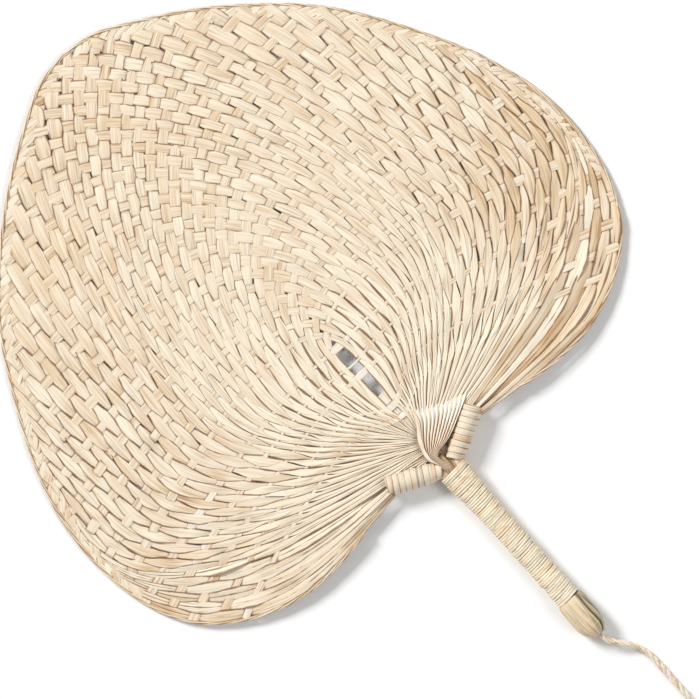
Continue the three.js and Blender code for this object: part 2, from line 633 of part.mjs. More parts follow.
// Free cord from the end cap to its knot, as a list of places that follow the photographed sweep
const cordStartBelow = HANDLE_LENGTH + CORD_START_GAP;
const cordStart = new THREE.Vector3(handleAxis(HANDLE_LENGTH), -cordStartBelow, HANDLE_HEIGHT);
const CORD_ROUTE = [
  [0, 0, 0], [0.2, -2.4, -0.15], [1.9, -6.3, -0.95], [5.2, -10.8, -2.35], [8.4, -15.4, -3.8],
  [10.2, -21, -4.8], [10.6, -27.4, -5.1], [10.4, -35.4, -5.1], [10.2, -43.4, -5.1], [10.1, -51.4, -5.1],
  [10.1, -59.1, -5.1],
].map(([x, y, z]) => new THREE.Vector3(x, y, z).add(cordStart));
const knotCentre = new THREE.Vector3().copy(CORD_ROUTE.at(-1));
knotCentre.y -= KNOT_HALF.y + CLEARANCE;
knotCentre.z = KNOT_HALF.z + 0.05;

function addCord() {
  const section = new THREE.Shape(ellipse(CORD_DIAMETER / 2, CORD_DIAMETER / 2, 8));
  const extrudePath = new THREE.CatmullRomCurve3(CORD_ROUTE);
  const geometry = new THREE.ExtrudeGeometry(section, { extrudePath, steps: 20, curveSegments: 1 });
  addMesh('cord', geometry, cordStraw);
  const knot = new THREE.SphereGeometry(1, 12, 8);
  knot.scale(KNOT_HALF.x, KNOT_HALF.y, KNOT_HALF.z);
  knot.translate(knotCentre.x, knotCentre.y, knotCentre.z);
  addMesh('cord_knot', knot, cordStraw);
}

// Hanging eye: one loop of the cord that leaves the knot at 45 degrees on both sides
function addCordEye() {
  const away = Math.SQRT2 * EYE_RADIUS;
  const centre = new THREE.Vector2(knotCentre.x, knotCentre.y - away);
  const start = (KNOT_HALF.y + CLEARANCE) / EYE_RADIUS;
  const places = [];
  const tangent = (along, sign) => new THREE.Vector2(
    knotCentre.x + sign * along * EYE_RADIUS * Math.SQRT1_2,
    knotCentre.y - along * EYE_RADIUS * Math.SQRT1_2,
  );
  places.push(tangent(start, -1), tangent(start + CORD_DIAMETER / EYE_RADIUS, -1));
  for (let k = 0; k <= EYE_STEPS; k += 1) {
    const angle = degToRad(135 + (270 * k) / EYE_STEPS);
    places.push(new THREE.Vector2(Math.cos(angle), Math.sin(angle)).multiplyScalar(EYE_RADIUS).add(centre));
  }
  places.push(tangent(start + CORD_DIAMETER / EYE_RADIUS, 1), tangent(start, 1));
  const section = ellipse(CORD_DIAMETER / 2, CORD_DIAMETER / 2, EYE_SIDES);
  const rings = places.map((p, k) => uprightRing(p.x, p.y, CORD_REST, directionAt(places, k), section));
  const gap = places[0].distanceTo(places.at(-1)) - CORD_DIAMETER;
  console.log(`cord_eye: least gap between its ends ${gap.toFixed(2)} mm`);
  addMesh('cord_eye', loft(rings, section), cordStraw);
}

addWeave();
addLeafBase(1, 'right_leaf_base');
addLeafBase(-1, 'left_leaf_base');
addGatheredEdge(1, 'right_gathered_edge');
addGatheredEdge(-1, 'left_gathered_edge');
addArmBinding(1, 'right_arm_binding');
addArmBinding(-1, 'left_arm_binding');
addStalk();
addHandleBinding();
addCapLeaf('end_cap_front_leaf', CAP_SEAM, capTan);
addCapLeaf('end_cap_back_leaf', CAP_SEAM + 180, capGreen);
addCord();
addCordEye();

// The part's origin lies on the table under the middle of blade and handle
fan.position.y = (HANDLE_LENGTH - BLADE_LENGTH) / 2;

export default fan;
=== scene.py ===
import math
from collections import namedtuple

import bpy
import numpy as np
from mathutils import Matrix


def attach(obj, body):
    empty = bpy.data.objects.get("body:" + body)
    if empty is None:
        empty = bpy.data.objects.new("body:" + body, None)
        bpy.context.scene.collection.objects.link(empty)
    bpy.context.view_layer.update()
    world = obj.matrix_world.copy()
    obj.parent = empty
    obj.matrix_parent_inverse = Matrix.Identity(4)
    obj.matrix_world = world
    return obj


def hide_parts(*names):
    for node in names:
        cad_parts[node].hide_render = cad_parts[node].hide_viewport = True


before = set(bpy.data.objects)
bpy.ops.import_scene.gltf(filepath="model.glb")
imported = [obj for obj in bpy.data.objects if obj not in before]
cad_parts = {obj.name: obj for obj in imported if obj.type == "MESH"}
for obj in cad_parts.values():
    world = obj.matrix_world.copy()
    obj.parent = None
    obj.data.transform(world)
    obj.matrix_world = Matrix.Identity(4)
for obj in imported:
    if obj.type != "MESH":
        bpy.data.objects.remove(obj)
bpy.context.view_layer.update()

SEED, GRAIN_SEEDS = 20261127, 90

# Blade and its outline, whose points are shares of the lobe's reach and of the blade's length
BLADE_LENGTH = 265.0
LOBE_REACH = 154.5
EDGE_HEIGHT = 1.7
HALF_OUTLINE = [
    (0, 1), (0.097, 0.992), (0.194, 0.968), (0.434, 0.88), (0.69, 0.742), (0.868, 0.575), (0.966, 0.438),
    (1, 0.302), (0.977, 0.185), (0.9, 0.092), (0.764, 0.028), (0.6, -0.006), (0.44, -0.008), (0.3, 0.004),
]
OUTLINE_POINTS, OUTLINE_STEP = 60, 0.75
RIM_CLEARANCE, LEAST_ROOM, LEAST_SLANT = 0.2, 0.3, 0.05

# Strips that each half of the leaf is split into, and the lines that they follow
RANKS = 40
RANKS_ACROSS = 23
RANKS_PER_SEGMENT = 2
INNER_STRIPS, OUTER_STRIPS = 24, 17
BASE_HEIGHT = 14.0
ROOT_DROP = 5.5
PLEAT_RADIUS = 14.0
ROOT_RADIUS = 1.5
SPLAY_FIRST, SPLAY_LAST, SPLAY_POWER = 3.0, 82.0, 0.7
SLIT_HALF = 2.2
TIP_BULGE = 71.0
RIM_ROOM = 5.15
FIRST_BULGE_HEIGHT, TIP_BULGE_HEIGHT, LOBE_BULGE_HEIGHT, BULGE_POWER = 50.0, 98.0, 86.0, 0.8
FIRST_CROSSING = 77.0
CROSSING_ANGLE, TIP_ANGLE, ANGLE_POWER = 48.0, 42.0, 3
FIRST_CREST, CREST_STEP = 34.0, 6.3
FIRST_RISE, RISE_STEP, RISE_RANKS, LEAST_RISE_POWER = 9.5, 2.4, 4.0, 1.5
WEFT_DROP, LEAST_DROP, DROP_RANKS, DROP_POWER = 34.0, 1.5, 4.5, 1.7
DROP_FROM, LATEST_DROP = 0.6, 0.5
TOP_EDGE_SHARE, TOP_EDGE_POWER = 0.45, 1.5
LEAN_FIRST, LEAN_LAST, LEAN_FADE = 46.0, 4.0, 0.28
RIM_PULL, AXIS_PULL, ARRIVE_PULL = 1.1, 1.15, 0.9
ROOT_POINTS, LEG_POINTS, ARC_POINTS, WEFT_POINTS = 12, 60, 70, 150
STRIP_STEP, STRIP_INSET, ROOT_SKIP = 0.9, 0.8, 20

# Weave: how far strips lift and swell as they pass over and under, as weft, on the axis and as warp
AXIS_ZONE = 30.0
ZONES = (-AXIS_ZONE, 0.0, AXIS_ZONE)
LIFT = (0.1, 0.11, 0.12)
FILL = (1.0, 1.02, 1.04)
SWELL = (0.03, 0.08, 0.3)
LOBE_SWELLS, BASE_SWELL, PINCH = {1: 0.18, -1: 0.06}, 0.3, 0.1
AXIS_CALM, TOP_CALM = 0.35, 0.4
DIP, WEFT_SINK = 0.24, 0.1
WARP_HALF = 3.3
WEFT_HALVES, WEFT_REACH = (0.7, 2.45), (45.0, 150.0)
WEFT_CLEARANCE, AXIS_CLEARANCE = 0.5, 1.9
FLAT_SHARE, SWAY_LEAD, LEAST_SWAY = 0.07, 7.0, 0.01
LEAF_THICKNESS, EDGE_THINNING, LEAF_CAMBER = 0.24, 0.6, 0.02
STRIP_COLUMNS, SHARP_ANGLE = 7, math.radians(50)
PLEAT_ROLL, PLEAT_FADE = math.radians(28), 40.0
BASE_SHIFT = 0.55
END_SHARE, END_RUN, END_DROP, END_DROP_RUN = 0.5, 4.0, 0.3, 6.0
FILL_WANDER, SHIFT_WANDER, TILT_WANDER, WEFT_TILT = 0.07, 0.12, math.radians(5.0), 0.3
WANDER_STEP, LEAST_WANDERS = 9.0, 4
ROOM_SMOOTHING = 9
LAST_ROOM_SHARE, LAST_ROOM, LAST_ROOM_RUN = 1.3, 6.0, (15.0, 45.0)
COARSE, PARALLEL = 3, 1e-9

# Weave: the run before the axis in which warp turns into weft, and zones across and up the blade
WARP_RUN, WARP_ACROSS, CALM_ACROSS, SINK_ACROSS = (5, 24), (-14, 16), (4, 24), (0, 20)
BASE_REACH = (45, 105)
LOBE_ACROSS, LOBE_UP = (45, 115), (120, 210)
LOW_LOBE_ACROSS, LOW_LOBE_UP = (60, 125), (70, 140)
CALM_UP, TOP_UP, TIP_UP, TIP_ACROSS = (120, 200), (90, 230), (110, 220), 70

# Weave: tone of the strips, and darkening of their edges, partly wear and partly painted shade lines, where
# near the base each segment folds into a rib
STRIP_TONE, TONE_SPREAD, TONE_WANDER, CALM_TONE, TONE_RANGE = 0.44, 0.08, 0.07, 0.4, (0.12, 0.74)
# Painted light and shade on the ribs near the root: strips folded one way are lighter, the other way darker
PLEAT_SHADE_TONE, PLEAT_SHADE_FADE = 0.34, 36
# The top tone is painted shade, darker towards the tip where the key light falls brighter; the base tone is
# painted light, paler near the base where the pleats are shaded
LOW_LOBE_TONES, WEFT_TONE, TOP_SHADE_TONE, BASE_LIGHT_TONE = {1: 0.3, -1: 0.04}, 0.07, 0.09, 0.12
ROOT_SHADOW, ROOT_SHADOW_FADE = 0.55, 7
STRIP_WEAR_AND_SHADE, LOBE_WEAR_AND_SHADE, TIP_WEAR_AND_SHADE = 0.965, 0.16, 0.1
# The valley side of a rib's edge is painted dark as shade, the crest side painted light
VALLEY_EDGE_SHADE, CREST_EDGE_LIGHT = (0.75, -0.6), (-0.2, -0.3)

# Cross strips that bridge the slit
CROSS_TOP, CROSS_PITCH, CROSS_DROP, CROSS_DROP_STEP = 75.5, 9.0, 29.0, 4.0
CROSS_SLIT_HALVES, CROSS_SLIT_REACH = (2.0, 0.5, 2.1, 1.8, 1.3), 7
CROSS_SLIT_SHIFTS, CROSS_SHIFT_REACH = (-1.5, -3.5, -0.5, -12.5, -10.0), 14
CROSS_LIFT, CROSS_SINK, CROSS_TONES = 0.05, 0.12, (0.62, 0.36)
CROSS_WIDTH_WANDER, CROSS_TONE_WANDER, CROSS_ROLL_WANDER = (30, 0.07), (12, 0.08), (30, 0.05)

# Leaf base: the course of the flap's left and right edges, its hem, and the pleats under the strips' roots
FLAP_LEFT = [
    (5.0, 29.0, 6.0), (3.0, 22.4, 8.3), (-2.6, 14.4, 9.9), (-5.1, 6.7, 10.5), (-3.6, 0.4, 10.2),
    (-2.6, -7.0, 9.0),
]
FLAP_RIGHT = [
    (31.0, 17.2, 6.0), (23.5, 13.2, 8.3), (10.4, 7.3, 10.6), (1.2, 5.4, 11.2), (-0.8, 2.2, 10.8),
    (1.5, -7.0, 9.6),
]
FLAP_PLEATS, FLAP_DEPTH, FLAP_FADE = 11, 1.3, (0.0, 0.48)
HEM_SHIFT, HEM_POINTS = (0.4, 0, 0.6), 24
HEM_HALF, HEM_START, HEM_END = 1.0, (-3, 8), (-2, 9)
HEM_TONE, HEM_TONE_WANDER, HEM_ROLL, HEM_CAMBER = 0.24, (8, 0.08), 0.3, 0.1
ROOT_PLEATS, ROOT_DEPTH, ROOT_FADES = 26, 0.6, {1: (0.3, 0.5), -1: (0.2, 0.4)}
ROOT_REACH, ROOT_SWEEP, ROOT_BEND, ROOT_SAG = 30.0, (106, -12), 10, 6.0
ROOT_GATHER, ROOT_END = ((-0.5, 8.0), (5.5, 4.5)), ((-2.0, -7.0), (3.5, -7.0))
ROOT_SINKS = (0.75, 0.6, 0.2, 0.0)
PLEAT_PANEL, PLEAT_POINTS = 4, 12
PLEAT_GROWTH, PLEAT_START, PLEAT_STEEPNESS = (0.02, 0.3), 0.5, 0.7
# The zigzag shade tone paints pleat ridges lighter and valleys darker, as light and shade
PANEL_TONE, ZIGZAG_SHADE_TONE, FADE_RUN = 0.1, 0.44, (0.15, 0.5)
VALLEY_WIDTH, VALLEY_SHADOW = 1.5, 0.9

# Gathered edge: a rim of twisted strands, and strip ends that are folded along it
ARM_OUTER = np.array((27.5, 9.4))
ARM_INNER = np.array((8.4, 0.2))
ARM_RADIUS = 4.0
RIM_INSET, RIM_RADIUS, RIM_PITCH, RIM_END = 0.9, 0.42, 34.0, 0.95
RIM_STRANDS, RIM_SIDES, RIM_TWIST, RIM_SINK, RIM_TONE = 3, 8, 0.4, 0.1, (0.6, 0.1)
FOLD_START, FOLD_END, FOLD_SPACING, FOLD_JITTER = 0.006, 0.66, 4.9, 0.0012
FOLD_LENGTH, FOLD_LENGTH_SPREAD, FOLD_HALF, FOLD_WIDTH_SPREAD = 7.8, 0.12, 2.1, 0.1
FOLD_INNER, FOLD_OUTER = (6.4, 0.4), (1.5, 0.15)
FOLD_POINTS, FOLD_TIPS, FOLD_BLUNTNESS = 24, (0.03, 0.97), 0.35
FOLD_HEIGHTS, FOLD_ARCH, FOLD_ROLL, EDGE_CAMBER = (-0.5, 0.12), 0.5, 0.06, 0.04
# The fold shadow lifts set the painted shadow value, lower towards each fold's narrow ends
FOLD_TONE, FOLD_TONE_RANGE, FOLD_SHADOW_LIFTS = (0.48, 0.13), (0.1, 1), (-0.8, 0.8)

# Tails: strip ends that fan out of each arm, between the outline and the outermost strip
TAILS, TAIL_POINTS = 6, 160
TAIL_OUTLINE, TAIL_SHARES, TAIL_FROM, TAIL_OPENING = (0.965, 0.5), (0.14, 0.97), 24, (-0.02, 0.3)
TAIL_TUCK, TAIL_SPAN, TAIL_HALF_AT_ARM = 4.0, 2.8, 0.9
TAIL_ROOM, TAIL_OVERHANG, TAIL_TAPER, TAIL_LEAST = 0.6, 0.8, (-4, 16), 0.05
TAIL_SWELL, TAIL_WAVE_RUN, TAIL_LIFT, TAIL_END_DROP, TAIL_END_RUN = 0.2, (8, 30), 0.1, 0.8, 20
# The tail wear and shade darkens the tails' edges, partly as wear and partly as painted shade lines
TAIL_SCATTER, TAIL_SCATTER_RUN, TAIL_WEAR_AND_SHADE, TAIL_CREASE = 2.4, (2, 30), 1.17, 0.9
TAIL_TONES, TAIL_TONE_SPREAD, TAIL_TONE_RANGE = {1: 0.62, -1: 0.5}, 0.16, (0.1, 0.9)
TAIL_WIDTH_WANDER, TAIL_ROLL_WANDER = (8, 0.1), (9, 0.2)
TAIL_TONE_WANDER, TAIL_CREASE_WANDER = (9, 0.08), (9, 0.22)

# Arms: the strands inside them, which are tucked into the handle, and the strip wound round them
ARM_STRANDS, ARM_STRAND_HALF, ARM_STRAND_INSET = 11, 1.5, 0.7
ARM_STRAND_STEP, ARM_NARROWING = 1.0, 0.8
ARM_STRAND_TONE, ARM_STRAND_CAMBER, ARM_STRAND_ROLL = (0.55, 0.15), 0.4, 0.7
TUCK, TUCK_SPREAD, TUCK_POINTS, TUCK_RISE = np.array((3.2, -12.0)), 1.6, 14, 0.7
ARM_TURNS, ARM_TURN_POINTS, ARM_FIRST_ANGLE = 9, 44, 0.8
ARM_START, ARM_NECK_REACH = 0.6, 5.4
ARM_COVER, ARM_STEP_UP, ARM_STEP_RUN, ARM_TAPER, ARM_TAPER_RUN = 0.5, 0.22, (0, 0.04), 1.3, (0.72, 1)
ARM_STRIP_HALF, ARM_STRIP_THICKNESS, ARM_SHINGLE = 1.75, 0.3, -0.09
ARM_RADIUS_WANDER, ARM_WIDTH_WANDER, ARM_ROLL_WANDER, ARM_ROLL_KNOTS = 0.12, 0.05, 0.03, 3
# The arm wear and shade darkens the wrap's edges, partly as wear and partly as painted shade between its
# turns
ARM_TONE, ARM_TONE_WANDER, ARM_WEAR_AND_SHADE = 0.36, 0.13, 1.03

# Handle and its binding
HANDLE_LENGTH = 110.0
HANDLE_HEIGHT = 6.85
HANDLE_RADIUS, NECK_RADIUS, NECK_FLARE = 5.9, 7.6, 16.0
HANDLE_FLATNESS = 0.88
HANDLE_LEAN = 0.022
HANDLE_TOP = 7.0
BINDING_TOP, BINDING_END = 5.6, 88.0
BINDING_TURNS, BINDING_TURN_POINTS, BINDING_SLANT, BINDING_PHASE = 64, 40, 0.35, 0.6
THREAD_RADIUS, THREAD_FLATNESS, THREAD_PROUD, THREAD_SIDES = 0.68, 0.95, 0.25, 10
BINDING_WANDER, BINDING_RADIUS_WANDER, THREAD_WANDER = 0.11, 0.12, 0.07
THREAD_TONE, THREAD_TONE_WANDER, THREAD_SEED = 0.24, 0.24, 7.0
KNOTS_PER_TURN = 2

# End cap: two leaves between seams given in degrees at the mouth and at the tip, with folds and wrinkles
CAP_LENGTH, CAP_RADIUS = 21.8, 7.3
CAP_SHARES = (0, 0.04, 0.12, 0.4, 0.63, 0.78, 0.88, 0.95, 1)
CAP_PROFILE = (0.9, 0.95, 1, 1.02, 1, 0.9, 0.74, 0.56, 0.42)
CAP_WALL, CAP_SINK, CAP_FLATNESS, CAP_FLOOR = 0.7, 0.35, 0.94, 0.05
CAP_ROWS, CAP_COLUMNS = 60, 72
FRONT_SEAM, BACK_SEAM, FRONT_TUCK, BACK_TUCK = (62.0, 84.0), (238.0, 238.0), 4, 14
LAP_SHARES, FRONT_LAP, BACK_LAP = (0, 0.06, 0.94, 1), (0.45, 0.2, 0.2, 0.3), (-0.4, 0.2, 0.1, -0.5)
CREASES, CREASE_DEPTH, CREASE_WIDTH, CREASE_SWAY, CREASE_WAVES = (384.0, 408.0), 0.9, 5, 6, 5
WRINKLE, WRINKLES, WRINKLE_SWAY, WRINKLE_WAVES = 0.13, 7, 2.2, 3
FINE_WRINKLE, FINE_WRINKLES, FINE_DRIFT = 0.1, 16, 5
# The crease shade tone and the cap shadow lift paint shade and shadow into the back leaf's creases
CAP_TONE, WRINKLE_TONE, CREASE_SHADE_TONE, CAP_SHADOW_LIFT, SEAM_POWER, CAP_SEED = 0.42, 0.8, 0.4, 0.2, 12, 7.0

# Cord: the route of its free stretch, from where it leaves the end cap, its eye and its knot
CORD_DIAMETER, CORD_OUT = 3.3, 0.7
CORD_START = np.array((HANDLE_LEAN * (HANDLE_TOP - HANDLE_LENGTH), -HANDLE_LENGTH - CORD_OUT, HANDLE_HEIGHT))
CORD_ROUTE = CORD_START + np.array([
    (0, 0, 0), (0.2, -2.4, -0.15), (1.9, -6.3, -0.95), (5.2, -10.8, -2.35), (8.4, -15.4, -3.8),
    (10.2, -21, -4.8), (10.6, -27.4, -5.1), (10.4, -35.4, -5.1), (10.2, -43.4, -5.1), (10.1, -51.4, -5.1),
    (10.1, -59.1, -5.1),
])
CORD_REST = 1.75
CORD_POINTS, CORD_STEP, CORD_END_STEP, CORD_TIP = 16, 0.55, 0.2, 0.03
PLIES, PLY_REACH, CORD_LAY = 3, 0.22, 13.0
STRANDS, STRAND_REACH, STRAND_LAY = 4, 0.14, -8.0
STRAND_WIDE, STRAND_HIGH, CORD_STRAND_SIDES, CORD_TONE = 0.135, 0.12, 6, (0.42, 0.16)
EYE_RADIUS, EYE_SWEEP, EYE_POINTS, EYE_RETURN = 17.0, (135, 405), 40, (1.2, -1.5, 1.4)
KNOT_HALF, KNOT_GAP, KNOT_CLEARANCE = np.array((4.0, 4.4, 3.2)), 0.35, 0.05
KNOT_GIRTH, KNOT_SNUG, KNOT_TURN, KNOT_POINTS, KNOT_STEP = 0.82, 0.8, (0.6, 2 * math.pi + 0.4), 150, 0.4

NECK = np.array((0.0, (HANDLE_LENGTH - BLADE_LENGTH) / 2, 0.0))
UP = np.array((0.0, 0.0, 1.0))
MILLIMETRE = 0.001
SIDES = {"right": 1, "left": -1}


# Curves

def lerp(a, b, t):
    return a + (b - a) * t


def ease(value, low, high):
    t = np.clip((value - low) / (high - low), 0, 1)
    return t * t * (3 - 2 * t)


def unit(vectors):
    return vectors / np.linalg.norm(vectors, axis=-1, keepdims=True)


def heading(line):
    return unit(np.gradient(line, axis=0))


def sides_of(path, up):
    """Directions across a path and square to it, on the side that up points to."""
    along = heading(path)
    across = unit(np.cross(np.broadcast_to(up, path.shape), along))
    return across, np.cross(along, across)


def run(line):
    return np.concatenate([[0], np.cumsum(np.linalg.norm(np.diff(line, axis=0), axis=1))])


def sampled(line, places, at):
    return np.stack([np.interp(at, places, column) for column in line.T], axis=-1)


def respace(line, step):
    far = run(line)
    return sampled(line, far, np.linspace(0, far[-1], max(2, round(far[-1] / step) + 1)))


def bend(start, leave, end, arrive, count):
    t = np.arange(count)[:, None] / count
    s = 1 - t
    return s * s * (1 + 2 * t) * start + t * s * s * leave + t * t * (3 - 2 * t) * end - t * t * s * arrive


def spline(points, per_span):
    points = np.asarray(points, float)
    ends = np.concatenate([points[:1], points, points[-1:]])
    slopes = (ends[2:] - ends[:-2]) / 2
    legs = zip(points[:-1], slopes[:-1], points[1:], slopes[1:])
    return np.concatenate([bend(*leg, per_span) for leg in legs] + [points[-1:]])


def direction(degrees):
    return np.array((math.sin(math.radians(degrees)), math.cos(math.radians(degrees))))


def with_height(line, height):
    return np.column_stack([line, np.broadcast_to(height, len(line))])


def wander(rng, count, knots, size):
    values = rng.normal(0, size, knots + 1)
    at = np.linspace(0, knots, count)
    k = np.minimum(at.astype(int), knots - 1)
    return lerp(values[k], values[k + 1], ease(at - k, 0, 1))


def random_for(*keys):
    return np.random.default_rng([SEED, *keys])


def grain_seed(rng):
    return rng.uniform(0, GRAIN_SEEDS)


# The blade's outline, the height of its gentle dome and the lines of its strips

ARM_RUN = unit(ARM_INNER - ARM_OUTER)
ARM_OUTWARD = np.array((-ARM_RUN[1], ARM_RUN[0]))
OUTLINE = respace(spline([(x * LOBE_REACH, y * BLADE_LENGTH) for x, y in HALF_OUTLINE]
                         + [ARM_OUTER + ARM_OUTWARD * ARM_RADIUS], OUTLINE_POINTS), OUTLINE_STEP)
OUTLINE_RUN = heading(OUTLINE)
OUTLINE_INWARD = np.column_stack([OUTLINE_RUN[:, 1], -OUTLINE_RUN[:, 0]])
OUTLINE_LENGTH = run(OUTLINE)[-1]


def outline_at(share, inset=0.0):
    at = np.clip(share, 0, 1) * (len(OUTLINE) - 1)
    point, inward = (sampled(line, np.arange(len(OUTLINE)), at) for line in (OUTLINE, OUTLINE_INWARD))
    return point + inward * np.asarray(inset)[..., None]


def nearest_outline(points):
    folded = np.abs(points * (1, 0)) + points * (0, 1)
    nearest = np.argmin(((folded[:, None] - OUTLINE[None]) ** 2).sum(2), axis=1)
    return nearest, ((folded - OUTLINE[nearest]) * OUTLINE_INWARD[nearest]).sum(1)


def inset_of(points):
    return nearest_outline(points)[1]


def room_to_rim(line):
    """The half width that keeps a strip inside the outline where it runs along it."""
    nearest, inset = nearest_outline(line)
    along = heading(line) * np.where(line[:, :1] < 0, (-1, 1), (1, 1))
    slant = np.abs((along * OUTLINE_RUN[nearest]).sum(1))
    return np.maximum(inset - RIM_CLEARANCE, LEAST_ROOM) / np.maximum(slant, LEAST_SLANT)


def blade_height(line):
    across, along = line[:, 0] / LOBE_REACH, (line[:, 1] - BASE_HEIGHT) / (BLADE_LENGTH - BASE_HEIGHT)
    return lerp(EDGE_HEIGHT, HANDLE_HEIGHT, np.maximum(0, 1 - across ** 2 - along ** 2))


def splay_of(rank):
    return direction(lerp(SPLAY_FIRST, SPLAY_LAST, (rank / RANKS) ** SPLAY_POWER))


def strip_line(rank):
    """A strip's line from its root to the rim, where the inner ranks cross the axis on their way."""
    out = splay_of(rank)
    base = np.array((0, BASE_HEIGHT - ROOT_DROP * (rank / RANKS) ** 2))
    root = base + out * PLEAT_RADIUS
    inner = min(1, rank / RANKS_ACROSS)
    outer = max(0, (rank - RANKS_ACROSS) / (RANKS - RANKS_ACROSS))
    bulge = np.array((
        lerp(SLIT_HALF, TIP_BULGE, inner) + (LOBE_REACH - RIM_ROOM - TIP_BULGE) * outer,
        lerp(FIRST_BULGE_HEIGHT, TIP_BULGE_HEIGHT, inner ** BULGE_POWER)
        + (LOBE_BULGE_HEIGHT - TIP_BULGE_HEIGHT) * outer,
    ))
    upward = np.array((0.0, 1.0))
    reach = np.linalg.norm(bulge - root)
    start = base + out * np.linspace(ROOT_RADIUS, PLEAT_RADIUS, ROOT_POINTS, endpoint=False)[:, None]
    line = [start, bend(root, out * reach, bulge, upward * reach, LEG_POINTS)]
    if outer > 0:
        end = outline_at(TOP_EDGE_SHARE * (1 - (1 - outer) ** TOP_EDGE_POWER))
        lean = direction(-lerp(LEAN_LAST, LEAN_FIRST, math.exp(-outer / LEAN_FADE)))
        rise = np.linalg.norm(end - bulge)
        line += [bend(bulge, upward * RIM_PULL * rise, end, lean * rise, ARC_POINTS), [end]]
        return np.concatenate(line)
    crossing = np.array((0, lerp(FIRST_CROSSING, BLADE_LENGTH, inner)))
    angle = math.radians(lerp(CROSSING_ANGLE, TIP_ANGLE, inner ** ANGLE_POWER))
    rise = np.linalg.norm(crossing - bulge)
    arrive = np.array((-math.cos(angle), math.sin(angle))) * ARRIVE_PULL * rise
    line.append(bend(bulge, upward * AXIS_PULL * rise, crossing, arrive, ARC_POINTS))
    crest = FIRST_CREST + CREST_STEP * rank
    gain = FIRST_RISE + RISE_STEP * rank ** 2 / (rank + RISE_RANKS)
    drop = WEFT_DROP * math.exp(-rank / DROP_RANKS) + LEAST_DROP
    power = max(LEAST_RISE_POWER, math.tan(angle) * crest / gain)
    x = np.linspace(0, LOBE_REACH, WEFT_POINTS)
    climb = gain * (1 - (1 - np.minimum(1, x / crest)) ** power)
    drop_from = min(DROP_FROM * crest, LATEST_DROP * LOBE_REACH)
    fall = drop * (np.maximum(0, x - drop_from) / (LOBE_REACH - drop_from)) ** DROP_POWER
    line.append(np.column_stack([-x, crossing[1] + climb - fall]))
    return np.concatenate(line)


def cross_line(index):
    x = np.linspace(0, LOBE_REACH, WEFT_POINTS)
    drop = CROSS_DROP + index * CROSS_DROP_STEP
    y = CROSS_TOP - index * CROSS_PITCH - drop * (x / LOBE_REACH) ** DROP_POWER
    y = y + CROSS_SLIT_SHIFTS[index] * np.exp(-(x / CROSS_SHIFT_REACH) ** 2)
    half = np.column_stack([x, y])
    return np.concatenate([half[:0:-1] * (-1, 1), half])


def within_outline(line):
    outside = np.flatnonzero(inset_of(line)[ROOT_SKIP:] <= STRIP_INSET)
    return line[:ROOT_SKIP + outside[0]] if len(outside) else line


# Meshes: a part holds the points, faces and attributes of one closed strip, strand or sheet.
# Its grain is millimetres across and along the fibre and a seed, its shade is tone, edge darkening that is
# partly wear and partly painted shade, and a shadow lift, whose low values paint shadow.

Part = namedtuple("Part", "points faces grain shade")


def grid_part(points, faces, grain, shade):
    """A part from rows of points, whose grain and shade are three values, columns or grids each."""
    grain, shade = (
        np.stack([np.broadcast_to(value, points.shape[:2]) for value in values], axis=-1).reshape(-1, 3)
        for values in (grain, shade))
    return Part(points.reshape(-1, 3), faces, grain, shade)


def tube_faces(rings, around):
    ring = np.arange(rings - 1)[:, None] * around
    here = np.arange(around)
    beside = (here + 1) % around
    corners = [ring + here, ring + beside, ring + around + beside, ring + around + here]
    return np.stack(corners, axis=-1).reshape(-1, 4)


def strip_part(path, up, left, right, tone, shadow_lift=0.0, roll=0.0, camber=LEAF_CAMBER, seed=0.0,
               thickness=LEAF_THICKNESS, wear_and_shade=(1.0, 1.0), crease=0.0):
    """A closed leaf strip along path, with its own half width on the left and right of its run."""
    count = len(path)
    across, normal = sides_of(path, up)
    u = np.linspace(1, -1, STRIP_COLUMNS)
    left, right, roll, tone, shadow_lift, crease, wear_and_shade_left, wear_and_shade_right = (
        np.broadcast_to(v, count)[:, None] for v in (left, right, roll, tone, shadow_lift, crease, *wear_and_shade))
    reach = np.where(u > 0, left, right) * u
    crown = np.sin(roll) * reach - camber * (left + right) / 2 * u ** 2
    flat = np.cos(roll) * reach
    body = thickness / 2 * (1 - EDGE_THINNING * u ** 4)
    sideways = np.concatenate([flat, flat[:, ::-1]], axis=1)
    upwards = np.concatenate([crown + body, (crown - body)[:, ::-1]], axis=1)
    points = path[:, None] + across[:, None] * sideways[..., None] + normal[:, None] * upwards[..., None]
    around = 2 * STRIP_COLUMNS
    k = np.arange(STRIP_COLUMNS - 1)
    start_cap = np.stack([k, around - 1 - k, around - 2 - k, k + 1], axis=-1)
    end_cap = start_cap[:, ::-1] + (count - 1) * around
    both = np.concatenate([u, u[::-1]])
    # Edge darkening grows towards the edges, partly as wear and partly as painted shade lines; the middle
    # column takes the crease
    edge = np.where(both == 0, crease, np.abs(both) * np.where(both > 0, wear_and_shade_left, wear_and_shade_right))
    grain = (np.concatenate([reach, reach[:, ::-1]], axis=1), run(path)[:, None], seed)
    return grid_part(points, [tube_faces(count, around), start_cap, end_cap], grain, (tone, edge, shadow_lift))


